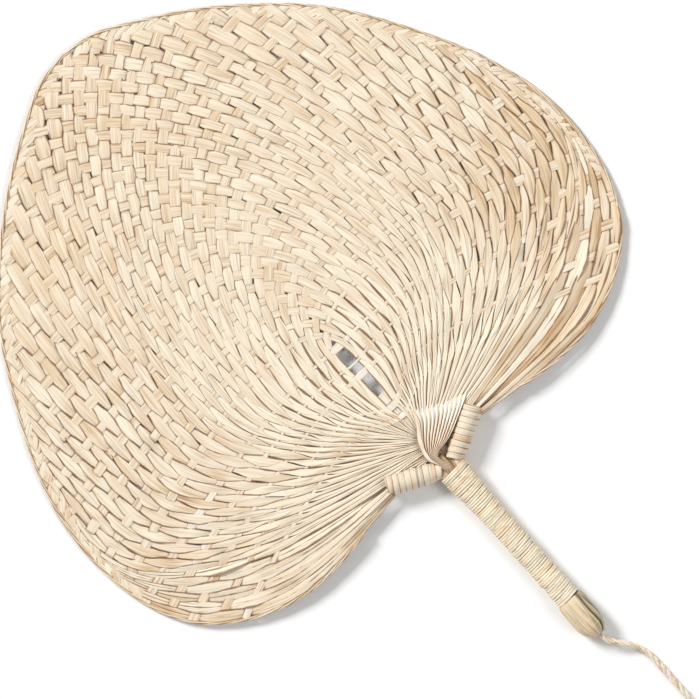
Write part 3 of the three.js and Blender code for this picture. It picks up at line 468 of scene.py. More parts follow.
def strand_part(path, up, wide, high, tone, seed, sides):
    """A closed round or oval strand along path."""
    count = len(path)
    across, normal = sides_of(path, up)
    angle = np.linspace(0, 2 * math.pi, sides, endpoint=False)
    wide, high, tone = (np.broadcast_to(v, count)[:, None] for v in (wide, high, tone))
    points = (path[:, None] + across[:, None] * (wide * np.cos(angle))[..., None]
              + normal[:, None] * (high * np.sin(angle))[..., None])
    cap = np.arange(sides)[None, ::-1]
    faces = [tube_faces(count, sides), cap, cap[:, ::-1] + (count - 1) * sides]
    grain = (angle * np.mean(wide), run(path)[:, None], seed)
    # The strand's sides are darkened as painted shade between neighbouring turns and strands
    return grid_part(points, faces, grain, (tone, np.abs(np.cos(angle)), 0))


def sheet_part(top, under, grain, shade):
    """A closed sheet between two grids of points."""
    rows, columns = top.shape[:2]
    size = rows * columns
    index = np.arange(size).reshape(rows, columns)
    corners = [index[:-1, :-1], index[:-1, 1:], index[1:, 1:], index[1:, :-1]]
    quads = np.stack(corners, axis=-1).reshape(-1, 4)
    rim = np.concatenate([index[0], index[1:, -1], index[-1, -2::-1], index[-2:0:-1, 0]])
    after = np.roll(rim, -1)
    wall = np.stack([after, rim, rim + size, after + size], axis=-1)
    front, back = (grid_part(points, [], grain, shade) for points in (top, under))
    points, grain, shade = (
        np.concatenate([getattr(front, key), getattr(back, key)]) for key in ("points", "grain", "shade"))
    return Part(points, [quads, quads[:, ::-1] + size, wall], grain, shade)


def on_side(part, side):
    """A part that was made for the right side, mirrored if it goes on the left."""
    if side > 0:
        return part
    return Part(part.points * (-1, 1, 1), [f[:, ::-1] for f in part.faces], part.grain, part.shade)


def add_object(name, data):
    made = bpy.data.objects.new(name, data)
    bpy.context.scene.collection.objects.link(made)
    return made


def build_piece(name, parts, material, nodes, body="fan"):
    starts = np.cumsum([0] + [len(p.points) for p in parts])
    faces = [f + start for p, start in zip(parts, starts) for f in p.faces]
    sizes = np.concatenate([np.full(len(f), f.shape[1]) for f in faces])
    loops = np.concatenate([f.ravel() for f in faces]).astype(np.int32)
    points = (np.concatenate([p.points for p in parts]) + NECK) * MILLIMETRE
    mesh = bpy.data.meshes.new(name)
    mesh.vertices.add(len(points))
    mesh.vertices.foreach_set("co", points.ravel())
    mesh.loops.add(len(loops))
    mesh.loops.foreach_set("vertex_index", loops)
    mesh.polygons.add(len(sizes))
    mesh.polygons.foreach_set("loop_start", np.concatenate([[0], np.cumsum(sizes)[:-1]]).astype(np.int32))
    mesh.polygons.foreach_set("use_smooth", np.ones(len(sizes), bool))
    mesh.update(calc_edges=True)
    mesh.set_sharp_from_angle(angle=SHARP_ANGLE)
    for key in ("grain", "shade"):
        values = np.concatenate([getattr(p, key) for p in parts])
        mesh.attributes.new(key, "FLOAT_VECTOR", "POINT").data.foreach_set("vector", values.ravel())
    mesh.materials.append(material)
    piece = add_object(name, mesh)
    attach(piece, body)
    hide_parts(*nodes)
    return piece


# Materials

# Tones of each kind of leaf, from pale to brown, as they show on screen
LEAF_TONES = [
    (245, 233, 209), (248, 237, 215), (243, 229, 205), (236, 216, 187), (224, 197, 160), (190, 152, 110)]
PALE_TONES = [
    (230, 222, 206), (248, 242, 230), (246, 236, 218), (240, 222, 196), (224, 194, 158), (188, 148, 106)]
ARM_TONES = [
    (214, 204, 180), (234, 223, 202), (238, 221, 196), (234, 209, 178), (220, 188, 150), (182, 142, 100)]
FLAP_TONES = [
    (250, 243, 232), (244, 230, 210), (236, 213, 183), (222, 191, 154), (194, 156, 116), (146, 108, 74)]
THREAD_TONES = [
    (236, 224, 198), (250, 238, 214), (252, 236, 206), (248, 222, 186), (230, 196, 154), (186, 146, 102)]
CAP_TONES = [
    (206, 194, 164), (230, 216, 188), (232, 212, 180), (222, 194, 156), (198, 162, 118), (150, 114, 74)]
GREEN_CAP_TONES = [
    (222, 214, 192), (214, 204, 178), (186, 176, 146), (150, 138, 108), (108, 92, 64), (62, 48, 30)]
CORD_TONES = [
    (238, 230, 212), (250, 243, 228), (250, 238, 218), (244, 224, 196), (228, 198, 160), (194, 152, 110)]
STALK_TONES = [(150, 112, 70), (226, 200, 158)]
# BROWN is the colour of veins, stains and worn edges, and also of painted shade lines along edges, in pleat
# valleys, in creases and between turns; SHADOW is painted shadow
BROWN, SHADOW = (122, 72, 26), (98, 58, 20)

# Noises of the fibre: scale across it, along it and over the seeds, then detail and distortion
STREAKS, VEINS = ((0.9, 1.0, 9.1), 3.0), ((1.9, 1.6, 3.7), 2.0)
PATCHES, EDGE_NOISE, SPOTS = ((0.22, 0.05, 5.3), 3.0), ((0.1, 0.16, 4.3), 2.0), ((0.9, 0.32, 2.9), 4.0, 0.6)

# The range of each noise or shade that counts, and what it is spread to
MIDDLE, PATCH_TONE, STREAK_TONE = (0.3, 0.7), (-0.1, 0.1), (-0.23, 0.23)
VEIN_RANGE, VEIN_SHARE, SPOT_RANGE, SPOT_SHARE = (0.53, 0.72), (0.0, 0.42), (0.68, 0.8), (0.0, 0.35)
# Edge darkening, partly wear and partly painted shade lines, and the noise that varies how far it reaches in
EDGE_NOISE_RANGE, EDGE_NOISE_REACH, WEAR_AND_SHADE_RANGE = (0.35, 0.65), (-0.13, 0.05), (0.77, 0.95)
# Painted shadow, mixed in where the shadow lift is low
PAINTED_SHADOW_RANGE, PAINTED_SHADOW_SHARE = (-0.3, -0.8), (0.0, 0.6)
ROUGHNESS, SHEEN, RIDGE = (0.45, 0.7), 0.32, 0.25
STALK_GRAIN, STALK_DETAIL, STALK_ROUGHNESS, STALK_BUMP, STALK_RIDGE = (2600, 60, 2600), 4.0, 0.65, 0.4, 0.3


def colour(red, green, blue):
    """A colour as it shows on screen, from 0 to 255, as linear light by the curve that screens use."""
    return tuple(((v / 255 + 0.055) / 1.055) ** 2.4 for v in (red, green, blue)) + (1.0,)


def new_material(name):
    material = bpy.data.materials.new(name)
    material.use_nodes = True
    return material, material.node_tree, material.node_tree.nodes["Principled BSDF"]


def put(node, **values):
    """Sets inputs of a node, with an underscore for each space in an input's name."""
    for key, value in values.items():
        node.inputs[key.replace("_", " ")].default_value = value


def fibre_material(name, tones, edge_wear_and_shade=0.8, along=0.03, bump=0.4):
    """Dry leaf with long veins, patches of tone, brown edges that are partly wear and partly painted shade
    lines, and painted shadow where it passes under.
    """
    material, tree, shader = new_material(name)
    put(shader, Specular_IOR_Level=SHEEN)
    link = tree.links.new

    def node(kind, **settings):
        made = tree.nodes.new(f"ShaderNode{kind}")
        for key, value in settings.items():
            setattr(made, key, value)
        return made

    def noise(scale, detail, distortion=0.0, along=1.0):
        stretch = node("VectorMath", operation="MULTIPLY")
        link(grain.outputs["Vector"], stretch.inputs[0])
        stretch.inputs[1].default_value = np.multiply(scale, (1, along, 1))
        texture = node("TexNoise")
        put(texture, Scale=1.0, Detail=detail, Distortion=distortion)
        link(stretch.outputs["Vector"], texture.inputs["Vector"])
        return texture.outputs["Fac"]

    def spread(value, source, target):
        made = node("MapRange")
        link(value, made.inputs["Value"])
        put(made, From_Min=source[0], From_Max=source[1], To_Min=target[0], To_Max=target[1])
        return made.outputs["Result"]

    def add(a, b):
        made = node("Math", operation="ADD")
        link(a, made.inputs[0])
        link(b, made.inputs[1])
        return made.outputs[0]

    def mixed(base, over, share):
        made = node("Mix", data_type="RGBA", blend_type="MIX")
        link(share, made.inputs["Factor"])
        link(base, made.inputs["A"])
        put(made, B=colour(*over))
        return made.outputs["Result"]

    grain = node("Attribute", attribute_name="grain")
    shade = node("Attribute", attribute_name="shade")
    parts = node("SeparateXYZ")
    link(shade.outputs["Vector"], parts.inputs["Vector"])
    streaks, veins = noise(*STREAKS, along=along), noise(*VEINS, along=along)
    edge_variation, patches, spots = noise(*EDGE_NOISE), noise(*PATCHES), noise(*SPOTS)

    uneven = add(spread(patches, MIDDLE, PATCH_TONE), spread(streaks, MIDDLE, STREAK_TONE))
    ramp = node("ValToRGB")
    link(add(parts.outputs["X"], uneven), ramp.inputs["Fac"])
    stops = ramp.color_ramp.elements
    for k, value in enumerate(tones):
        place = k / (len(tones) - 1)
        stop = stops[0] if k == 0 else stops[-1] if k == len(tones) - 1 else stops.new(place)
        stop.position = place
        stop.color = colour(*value)
    base = mixed(ramp.outputs["Color"], BROWN, spread(veins, VEIN_RANGE, VEIN_SHARE))
    base = mixed(base, BROWN, spread(spots, SPOT_RANGE, SPOT_SHARE))
    # Brown edges, partly wear and partly painted shade lines between strips, in pleat valleys, creases and
    # between turns
    edge = add(parts.outputs["Y"], spread(edge_variation, EDGE_NOISE_RANGE, EDGE_NOISE_REACH))
    base = mixed(base, BROWN, spread(edge, WEAR_AND_SHADE_RANGE, (0.0, edge_wear_and_shade)))
    # Painted shadow where the shadow lift is low: under other strips, at the roots and in creases
    base = mixed(base, SHADOW, spread(parts.outputs["Z"], PAINTED_SHADOW_RANGE, PAINTED_SHADOW_SHARE))
    link(base, shader.inputs["Base Color"])
    link(spread(veins, MIDDLE, ROUGHNESS), shader.inputs["Roughness"])
    ridges = node("Bump")
    put(ridges, Strength=bump, Distance=RIDGE * MILLIMETRE)
    link(add(veins, streaks), ridges.inputs["Height"])
    link(ridges.outputs["Normal"], shader.inputs["Normal"])
    return material


def stalk_material():
    material, tree, shader = new_material("stalk")
    link = tree.links.new
    kinds = ("TexCoord", "VectorMath", "TexNoise", "ValToRGB", "Bump")
    place, stretch, grain, ramp, ridges = (tree.nodes.new(f"ShaderNode{kind}") for kind in kinds)
    stretch.operation = "MULTIPLY"
    stretch.inputs[1].default_value = STALK_GRAIN
    put(grain, Scale=1.0, Detail=STALK_DETAIL)
    for stop, tone in zip(ramp.color_ramp.elements, STALK_TONES):
        stop.color = colour(*tone)
    put(ridges, Strength=STALK_BUMP, Distance=STALK_RIDGE * MILLIMETRE)
    link(place.outputs["Object"], stretch.inputs[0])
    link(stretch.outputs["Vector"], grain.inputs["Vector"])
    link(grain.outputs["Fac"], ramp.inputs["Fac"])
    link(ramp.outputs["Color"], shader.inputs["Base Color"])
    link(grain.outputs["Fac"], ridges.inputs["Height"])
    link(ridges.outputs["Normal"], shader.inputs["Normal"])
    put(shader, Roughness=STALK_ROUGHNESS)
    return material


# Each material's edge wear and shade darkens edges with brown, partly as wear and partly as painted shade
# lines; on thread and cord it paints shade between the turns
leaf = fibre_material("leaf", LEAF_TONES)
pale_leaf = fibre_material("pale_leaf", PALE_TONES)
flap_leaf = fibre_material("flap_leaf", FLAP_TONES, edge_wear_and_shade=0.9, bump=0.5)
arm_leaf = fibre_material("arm_leaf", ARM_TONES, edge_wear_and_shade=0.85)
thread = fibre_material("thread", THREAD_TONES, edge_wear_and_shade=0.85, along=0.2, bump=0.5)
cap_leaf = fibre_material("cap_leaf", CAP_TONES, edge_wear_and_shade=0.3, bump=0.5)
green_cap_leaf = fibre_material("green_cap_leaf", GREEN_CAP_TONES, edge_wear_and_shade=0.3, bump=0.5)
cord_fibre = fibre_material("cord_fibre", CORD_TONES, edge_wear_and_shade=0.45, along=0.2, bump=0.6)


# Camera, and floor, world and lights, which are placed in metres

VIEW_CENTRE = np.array((3.4, -8.1))
VIEW_WIDTH, VIEW_TURN = 332.0, math.radians(-43.2)
CAMERA_HEIGHT, SENSOR_WIDTH = 3000.0, 36
FLOOR_HALF, FLOOR_LEVEL, FLOOR_COLOUR, FLOOR_ROUGHNESS = 3.0, -0.0002, (0.95, 0.95, 0.95, 1), 0.9
WORLD_COLOUR, WORLD_STRENGTH = (1.0, 1.0, 1.0, 1), 0.32
KEY_PLACE, KEY_SIZE, KEY_POWER = (-0.9, 4.7, 3.8), 1.7, 338.0
FILL_PLACE, FILL_SIZE, FILL_POWER = (1.2, -1.8, 2.6), 1.5, 33.0


def add_camera():
    data = bpy.data.cameras.new("camera")
    data.sensor_width = SENSOR_WIDTH
    data.lens = data.sensor_width * CAMERA_HEIGHT / VIEW_WIDTH
    camera = add_object("camera", data)
    camera.location = (*(VIEW_CENTRE * MILLIMETRE), CAMERA_HEIGHT * MILLIMETRE)
    camera.rotation_euler = (0, 0, VIEW_TURN)
    bpy.context.scene.camera = camera


def add_area_light(name, place, size, power):
    data = bpy.data.lights.new(name, "AREA")
    data.size = size
    data.energy = power
    light = add_object(name, data)
    light.location = place
    light.rotation_euler = light.location.to_track_quat("Z", "Y").to_euler()


def add_floor():
    mesh = bpy.data.meshes.new("floor")
    corners = [(x * FLOOR_HALF, y * FLOOR_HALF, FLOOR_LEVEL) for x, y in ((-1, -1), (1, -1), (1, 1), (-1, 1))]
    mesh.from_pydata(corners, [], [(0, 1, 2, 3)])
    material, _, shader = new_material("floor")
    put(shader, Base_Color=FLOOR_COLOUR, Roughness=FLOOR_ROUGHNESS)
    mesh.materials.append(material)
    add_object("floor", mesh)


def add_world():
    world = bpy.data.worlds.new("studio")
    world.use_nodes = True
    put(world.node_tree.nodes["Background"], Color=WORLD_COLOUR, Strength=WORLD_STRENGTH)
    bpy.context.scene.world = world


add_camera()
add_floor()
add_world()
add_area_light("key", KEY_PLACE, KEY_SIZE, KEY_POWER)
add_area_light("fill", FILL_PLACE, FILL_SIZE, FILL_POWER)
bpy.context.scene.view_settings.view_transform = "Standard"


# Cord, its eye and its knot

def laid(path, up, count, radius, lay):
    """Lines that wind round a path as a rope's plies do, each with its direction outward."""
    across, normal = sides_of(path, up)
    turn = run(path) / lay * 2 * math.pi
    radius = np.broadcast_to(radius, len(path))[:, None]
    lines = []
    for k in range(count):
        angle = (turn + 2 * math.pi * k / count)[:, None]
        out = across * np.cos(angle) + normal * np.sin(angle)
        lines.append((path + out * radius, out))
    return lines


def rope_parts(path, diameter, rng):
    """Plies that wind round path, each of flat strands that wind the other way."""
    parts = []
    for ply, outward in laid(path, UP, PLIES, PLY_REACH * diameter, CORD_LAY):
        for line, out in laid(ply, outward, STRANDS, STRAND_REACH * diameter, STRAND_LAY):
            tone = rng.normal(*CORD_TONE)
            parts.append(strand_part(line, out, STRAND_WIDE * diameter, STRAND_HIGH * diameter, tone,
                                     grain_seed(rng), CORD_STRAND_SIDES))
    return parts


def build_cord():
    rng = random_for(0)
    knot = CORD_ROUTE[-1] - (0, KNOT_HALF[1] + KNOT_GAP, 0)
    below_knot = np.array((knot[0], knot[1], CORD_REST))
    angles = np.radians(np.linspace(*EYE_SWEEP, EYE_POINTS))
    circle = np.column_stack([np.cos(angles), np.sin(angles), np.zeros(EYE_POINTS)])
    eye = below_knot - (0, math.sqrt(2) * EYE_RADIUS, 0) + EYE_RADIUS * circle
    route = np.concatenate([CORD_ROUTE, [knot], eye[1:-1], [below_knot + EYE_RETURN]])
    inside = CORD_START + np.array((0, CORD_DIAMETER / 2, 0))
    path = np.concatenate([
        respace(np.stack([inside, CORD_START]), CORD_END_STEP)[:-1],
        respace(spline(route, CORD_POINTS), CORD_STEP),
    ])
    to_tip = np.clip(run(path) / (CORD_DIAMETER / 2), CORD_TIP, 1)
    rope = rope_parts(path, CORD_DIAMETER * np.sqrt(1 - (1 - to_tip) ** 2), rng)
    cord = build_piece("hanging_cord", rope, cord_fibre, ["cord", "cord_eye"], "cord")

    t = np.linspace(*KNOT_TURN, KNOT_POINTS)
    trefoil = np.column_stack([np.sin(t) + 2 * np.sin(2 * t), np.cos(t) - 2 * np.cos(2 * t), -np.sin(3 * t)])
    middle = np.array((knot[0], knot[1], KNOT_HALF[2] + KNOT_CLEARANCE))
    loop = middle + trefoil * (KNOT_HALF - CORD_DIAMETER / 2 * KNOT_SNUG) / (3, 3, 1)
    rope = rope_parts(respace(loop, KNOT_STEP), KNOT_GIRTH * CORD_DIAMETER, rng)
    knot_piece = build_piece("cord_overhand_knot", rope, cord_fibre, ["cord_knot"], "cord")
    route = (path + NECK) * MILLIMETRE


build_cord()


# Weave

def twist(a, b):
    return a[..., 0] * b[..., 1] - a[..., 1] * b[..., 0]


def crossing(a, b):
    """Places along lines a and b, in points, where they first cross."""
    r, s = np.diff(a, axis=0)[:, None], np.diff(b, axis=0)[None]
    gap = b[None, :-1] - a[:-1, None]
    turn = twist(r, s)
    turn = np.where(np.abs(turn) < PARALLEL, PARALLEL, turn)
    t, u = twist(gap, s) / turn, twist(gap, r) / turn
    hits = np.argwhere((t >= 0) & (t < 1) & (u >= 0) & (u < 1))
    if not len(hits):
        return None
    i, j = hits[0]
    return i + t[i, j], j + u[i, j]


def tail_line(share):
    """A strip end that fans out of the arm, between the outline at 0 and the outermost strip at 1."""
    outer = outline_at(np.linspace(*TAIL_OUTLINE, TAIL_POINTS))
    bounding = respace(strip_line(RANKS), STRIP_STEP)
    first = np.argmax(bounding[:, 0] > TAIL_FROM)
    last = np.argmin(((bounding - outer[-1]) ** 2).sum(1))
    inner = sampled(bounding, np.arange(len(bounding)), np.linspace(first, last, TAIL_POINTS))
    start = ARM_OUTER + ARM_RUN * TAIL_TUCK + ARM_OUTWARD * lerp(TAIL_SPAN, -TAIL_SPAN, share)
    spread = ease(np.linspace(0, 1, TAIL_POINTS), *TAIL_OPENING)[:, None]
    return respace(lerp(start, lerp(outer, inner, lerp(*TAIL_SHARES, share)), spread), STRIP_STEP)


STRIP_RANKS = np.concatenate([
    np.arange(INNER_STRIPS) + 0.5,
    INNER_STRIPS + (np.arange(OUTER_STRIPS) + 0.5) * (RANKS - INNER_STRIPS) / OUTER_STRIPS,
])
STRIPS = len(STRIP_RANKS)
full_lines = [respace(strip_line(rank), STRIP_STEP) for rank in STRIP_RANKS]
strip_lines = [within_outline(line) for line in full_lines]
tail_lines = [tail_line(1 - q / (TAILS - 1)) for q in range(TAILS)]
warp_lines = strip_lines + tail_lines
cross_lines = []
for m in range(len(CROSS_SLIT_SHIFTS)):
    spaced = respace(cross_line(m), STRIP_STEP)
    cross_lines.append(spaced[inset_of(spaced) > STRIP_INSET])

passes = {(side, k): [] for side in (1, -1) for k in range(len(warp_lines))}
cross_passes = [[] for _ in cross_lines]


def add_passes(a, b, a_passes, b_passes, over):
    """Notes where lines a and b cross, in millimetres along each, and which of the two lies on top."""
    hit = crossing(a[::COARSE], b[::COARSE])
    if hit:
        a_passes.append((hit[0] * COARSE * STRIP_STEP, over))
        b_passes.append((hit[1] * COARSE * STRIP_STEP, -over))


for j, right_line in enumerate(warp_lines):
    for i, left_line in enumerate(warp_lines):
        add_passes(right_line, left_line * (-1, 1), passes[1, j], passes[-1, i], 1 if (i + j) % 2 else -1)
    for m, line in enumerate(cross_lines):
        for side in (1, -1):
            over = side * (1 if (j - 1 - m) % 2 else -1)
            add_passes(right_line * (side, 1), line, passes[side, j], cross_passes[m], over)


def sway(stops, far):
    """From -1 where a strip passes under to 1 where it passes over, level for a while at each."""
    stops = sorted(stops)
    if not stops:
        return np.zeros_like(far)
    at = np.array([stops[0][0] - SWAY_LEAD] + [s for s, _ in stops])
    value = np.array([0] + [v for _, v in stops], float)
    k = np.clip(np.searchsorted(at, far) - 1, 0, len(at) - 2)
    t = (far - at[k]) / np.maximum(at[k + 1] - at[k], LEAST_SWAY)
    return lerp(value[k], value[k + 1], ease(t, FLAT_SHARE, 1 - FLAT_SHARE))


def dips(stops, far, width):
    """From 0 where a strip lies on top to 1 in the short dips where it passes under."""
    bump = np.zeros_like(far)
    for place, over in stops:
        if over < 0:
            bump = np.maximum(bump, np.exp(-((far - place) / width) ** 2))
    return bump


def room_between(line, other):
    gaps = np.sqrt(((line[:, None] - other[None]) ** 2).sum(2).min(1))
    kernel = np.ones(ROOM_SMOOTHING) / ROOM_SMOOTHING
    return np.convolve(np.pad(gaps, ROOM_SMOOTHING // 2, mode="edge"), kernel, mode="valid")


neighbours = full_lines + tail_lines
rooms = [room_between(strip_lines[k], neighbours[k + 1]) for k in range(STRIPS)]
rooms_back = [rooms[0]] + [room_between(strip_lines[k], full_lines[k - 1]) for k in range(1, STRIPS)]
last_room = lerp(LAST_ROOM_SHARE * rooms_back[-1], LAST_ROOM, ease(run(strip_lines[-1]), *LAST_ROOM_RUN))
rooms[-1] = np.minimum(rooms[-1], last_room)


def lobe_share(line, across, up):
    """How far a place is in a lobe, where the strips are wide, loose and pinched by the weft."""
    return ease(line[:, 0], *across) * (1 - ease(line[:, 1], *up))


def from_base(line):
    return np.hypot(line[:, 0], line[:, 1] - BASE_HEIGHT)


def weft_half_width(line):
    """Strips that cross the other side's are narrow near the base and wide towards the rim."""
    return lerp(*WEFT_HALVES, ease(from_base(line), *WEFT_REACH))


def woven_strip(side, k):
    rng = random_for(1, side + 1, k)
    line = strip_lines[k]
    stops = passes[side, k]
    fold = 1 if k % 2 else -1
    own, high = line.T
    far = run(line)
    to_end = far[-1] - far
    past_axis = np.flatnonzero(own < 0)
    to_axis = (far[past_axis[0]] if len(past_axis) else far[-1] + AXIS_ZONE) - far
    knots = max(LEAST_WANDERS, int(far[-1] / WANDER_STEP))

    def uneven(size):
        return wander(rng, len(line), knots, size)

    wave = sway(stops, far)
    lobe = lobe_share(line, LOBE_ACROSS, LOBE_UP)
    warp = ease(to_axis, *WARP_RUN)
    base = warp * (1 - ease(from_base(line), *BASE_REACH))
    weft_half, rim_room = weft_half_width(line), room_to_rim(line)
    dip = warp * dips(stops, far, weft_half + WEFT_CLEARANCE)

    swell = np.interp(to_axis, ZONES, SWELL) + LOBE_SWELLS[side] * lobe + BASE_SWELL * base
    swell = swell * lerp(1, lerp(AXIS_CALM, 1, ease(own, *CALM_ACROSS)), warp)
    swell = swell * lerp(1, TOP_CALM, ease(high, *CALM_UP))
    fill = np.interp(to_axis, ZONES, FILL) + swell * wave - PINCH * dip
    fill = fill * (1 + uneven(FILL_WANDER))
    widest = np.minimum(lerp(weft_half, WARP_HALF, ease(own, *WARP_ACROSS)), rim_room)
    pleat = PLEAT_ROLL * np.exp(-far / PLEAT_FADE) * fold
    stretch = fill / np.cos(pleat)
    end = lerp(END_SHARE, 1, ease(to_end, 0, END_RUN))
    outer = np.minimum(np.minimum(rooms[k] / 2, widest) * stretch, rim_room) * end
    inner = np.minimum(rooms_back[k] / 2, widest) * stretch * end

    rise = np.interp(to_axis, ZONES, LIFT) * wave - DIP * dip - WEFT_SINK * ease(-own, *SINK_ACROSS)
    height = blade_height(line) + rise - END_DROP * (1 - ease(to_end, 0, END_DROP_RUN))
    shift = uneven(SHIFT_WANDER) + BASE_SHIFT * base * wave * fold
    across = np.column_stack([-heading(line)[:, 1], heading(line)[:, 0]])
    path = with_height(line + across * shift[:, None], height)
    tilt = uneven(TILT_WANDER) * (lerp(WEFT_TILT, 1, warp) + lobe)

    # Painted shadow where the strip dips under others, and at its root
    dips_and_shade = dips(stops, far, lerp(AXIS_CLEARANCE, weft_half + WEFT_CLEARANCE, warp))
    dips_and_shade = np.maximum(dips_and_shade, ROOT_SHADOW * np.exp(-(far / ROOT_SHADOW_FADE) ** 2))
    patchy = rng.normal(0, TONE_SPREAD) + uneven(TONE_WANDER)
    tone = STRIP_TONE + patchy * lerp(CALM_TONE, 1, np.maximum(lobe, base))
    # Painted light and shade on the ribs near the root: one fold of strips lighter, the other darker
    tone = tone + np.exp(-far / PLEAT_SHADE_FADE) * PLEAT_SHADE_TONE * fold
    tone = tone + LOW_LOBE_TONES[side] * lobe_share(line, LOW_LOBE_ACROSS, LOW_LOBE_UP)
    # Painted shade darker towards the tip, where the key light falls brighter, and painted light paler near
    # the base, where the rolled pleats are shaded
    tone = tone + WEFT_TONE * (1 - warp) + TOP_SHADE_TONE * ease(high, *TOP_UP) - BASE_LIGHT_TONE * base
    # Edge darkening, partly wear and partly painted shade lines, stronger in the lobes and at the tip
    wear_and_shade_gain = STRIP_WEAR_AND_SHADE + LOBE_WEAR_AND_SHADE * lobe + TIP_WEAR_AND_SHADE * ease(high, *TIP_UP) * np.exp(-(own / TIP_ACROSS) ** 2)
    # Near the base the valley side of each rib's edge is painted dark as shade and the crest side is painted
    # light
    valley, crest = (wear_and_shade_gain + (level + swing * wave) * base for level, swing in (VALLEY_EDGE_SHADE, CREST_EDGE_LIGHT))
    part = strip_part(path, UP, inner, outer, np.clip(tone, *TONE_RANGE), shadow_lift=-dips_and_shade, roll=pleat + tilt,
                      seed=grain_seed(rng), wear_and_shade=(crest, valley)[::fold])
    return on_side(part, side)


def woven_cross_strip(m):
    rng = random_for(2, m)
    line = cross_lines[m]
    count = len(line)
    wave = sway(cross_passes[m], run(line))
    slit = np.exp(-(line[:, 0] / CROSS_SLIT_REACH) ** 2)
    half = lerp(weft_half_width(line), CROSS_SLIT_HALVES[m], slit)
    half = half * (1 + wander(rng, count, *CROSS_WIDTH_WANDER))
    path = with_height(line, blade_height(line) + CROSS_LIFT * wave - CROSS_SINK)
    tone = lerp(*CROSS_TONES, slit) + wander(rng, count, *CROSS_TONE_WANDER)
    roll = wander(rng, count, *CROSS_ROLL_WANDER)
    return strip_part(path, UP, half, half, tone, roll=roll, seed=grain_seed(rng))


def build_weave():
    for side_name, side in SIDES.items():
        for n in range(RANKS // RANKS_PER_SEGMENT):
            members = np.flatnonzero(STRIP_RANKS // RANKS_PER_SEGMENT == n)
            build_piece(f"{side_name}_strips_{n + 1:02d}", [woven_strip(side, k) for k in members], leaf,
                        [f"{side_name}_segment_{n + 1:02d}"])
    for m in range(len(cross_lines)):
        build_piece(f"bridge_strip_{m + 1}", [woven_cross_strip(m)], pale_leaf,
                    [f"cross_strip_{m + 1}"])


build_weave()


# Leaf base: pleats that run together from the strips' roots into the handle

def pleated(courses, depth, fade, seed):
    """A pleated sheet whose fold lines follow the courses, each a row of points."""
    grid = np.stack([spline(course, PLEAT_POINTS) for course in courses], axis=1)
    rows, columns = grid.shape[:2]
    pleats = (columns - 1) // (2 * PLEAT_PANEL)
    share = np.linspace(0, pleats, columns)
    zigzag = np.abs(share % 1 * 2 - 1) * 2 - 1
    room = np.linalg.norm(np.gradient(grid[..., :2], axis=1), axis=2) * PLEAT_PANEL
    along = np.linspace(0, 1, rows)[:, None]
    grown = ease(along, *PLEAT_GROWTH)
    grid[..., 2] += zigzag * np.minimum(room * PLEAT_STEEPNESS, depth) * lerp(PLEAT_START, 1, grown)
    panel = np.minimum((share * 2).astype(int), pleats * 2 - 1)
    tone = random_for(3, seed).normal(0, PANEL_TONE, pleats * 2)[panel]
    # Ridges painted lighter and valleys darker, as light and shade on the pleats
    tone = tone - ZIGZAG_SHADE_TONE * zigzag * grown + lerp(*fade, ease(along, *FADE_RUN))
    far = np.linalg.norm(np.diff(grid, axis=0, prepend=grid[:1]), axis=2).cumsum(0)
    across = np.linalg.norm(np.diff(grid, axis=1, prepend=grid[:, :1]), axis=2).cumsum(1)
    # Valleys painted with a brown line and painted shadow, as shade in the folds
    valley = np.clip(-VALLEY_WIDTH * zigzag, 0, 1) * grown
    shade = (tone, valley, -VALLEY_SHADOW * valley)
    return sheet_part(grid, grid - UP * LEAF_THICKNESS, (across, far, seed), shade)


def fold_shares(pleats):
    return np.linspace(0, 1, 2 * PLEAT_PANEL * pleats + 1)


def flap_courses():
    left, right = np.array(FLAP_LEFT), np.array(FLAP_RIGHT)
    return [lerp(left, right, share) for share in fold_shares(FLAP_PLEATS)]


def root_courses(side):
    """Fold lines under the strips' roots, which run together and down into the handle."""
    base = np.array((0, BASE_HEIGHT))
    courses = []
    for share in fold_shares(ROOT_PLEATS):
        out = direction(lerp(*ROOT_SWEEP, share))
        low = 1 - share
        gather, end = (lerp(np.array(high), np.array(deep), low) for high, deep in (ROOT_GATHER, ROOT_END))
        flat = [base + out * ROOT_REACH, base + out * ROOT_BEND - (0, ROOT_SAG * low ** 2), gather, end]
        heights = np.array([blade_height(flat[0][None])[0]] + 3 * [HANDLE_HEIGHT]) - ROOT_SINKS
        courses.append(np.column_stack([flat, heights]) * (side, 1, 1))
    return courses if side < 0 else courses[::-1]


def flap_hem(rng):
    """The stiff leaf edge that runs down the flap's left side."""
    path = respace(spline(np.array(FLAP_LEFT[:-1]) + HEM_SHIFT, HEM_POINTS), STRIP_STEP)
    far = run(path)
    half = HEM_HALF * ease(far, *HEM_START) * ease(far[-1] - far, *HEM_END)
    tone = HEM_TONE + wander(rng, len(path), *HEM_TONE_WANDER)
    return strip_part(path, UP, half, half, tone, roll=HEM_ROLL, camber=HEM_CAMBER, seed=grain_seed(rng))


def build_leaf_base():
    flap = pleated(flap_courses(), FLAP_DEPTH, FLAP_FADE, seed=11)
    right_roots = pleated(root_courses(1), ROOT_DEPTH, ROOT_FADES[1], seed=12)
    left_roots = pleated(root_courses(-1), ROOT_DEPTH, ROOT_FADES[-1], seed=13)
    front = [flap, flap_hem(random_for(3)), right_roots]
    build_piece("front_leaf_base", front, flap_leaf, ["right_leaf_base"])
    build_piece("back_leaf_base", [left_roots], flap_leaf, ["left_leaf_base"])


build_leaf_base()


# Gathered edge: rim, folds, tails and the strands of the arm

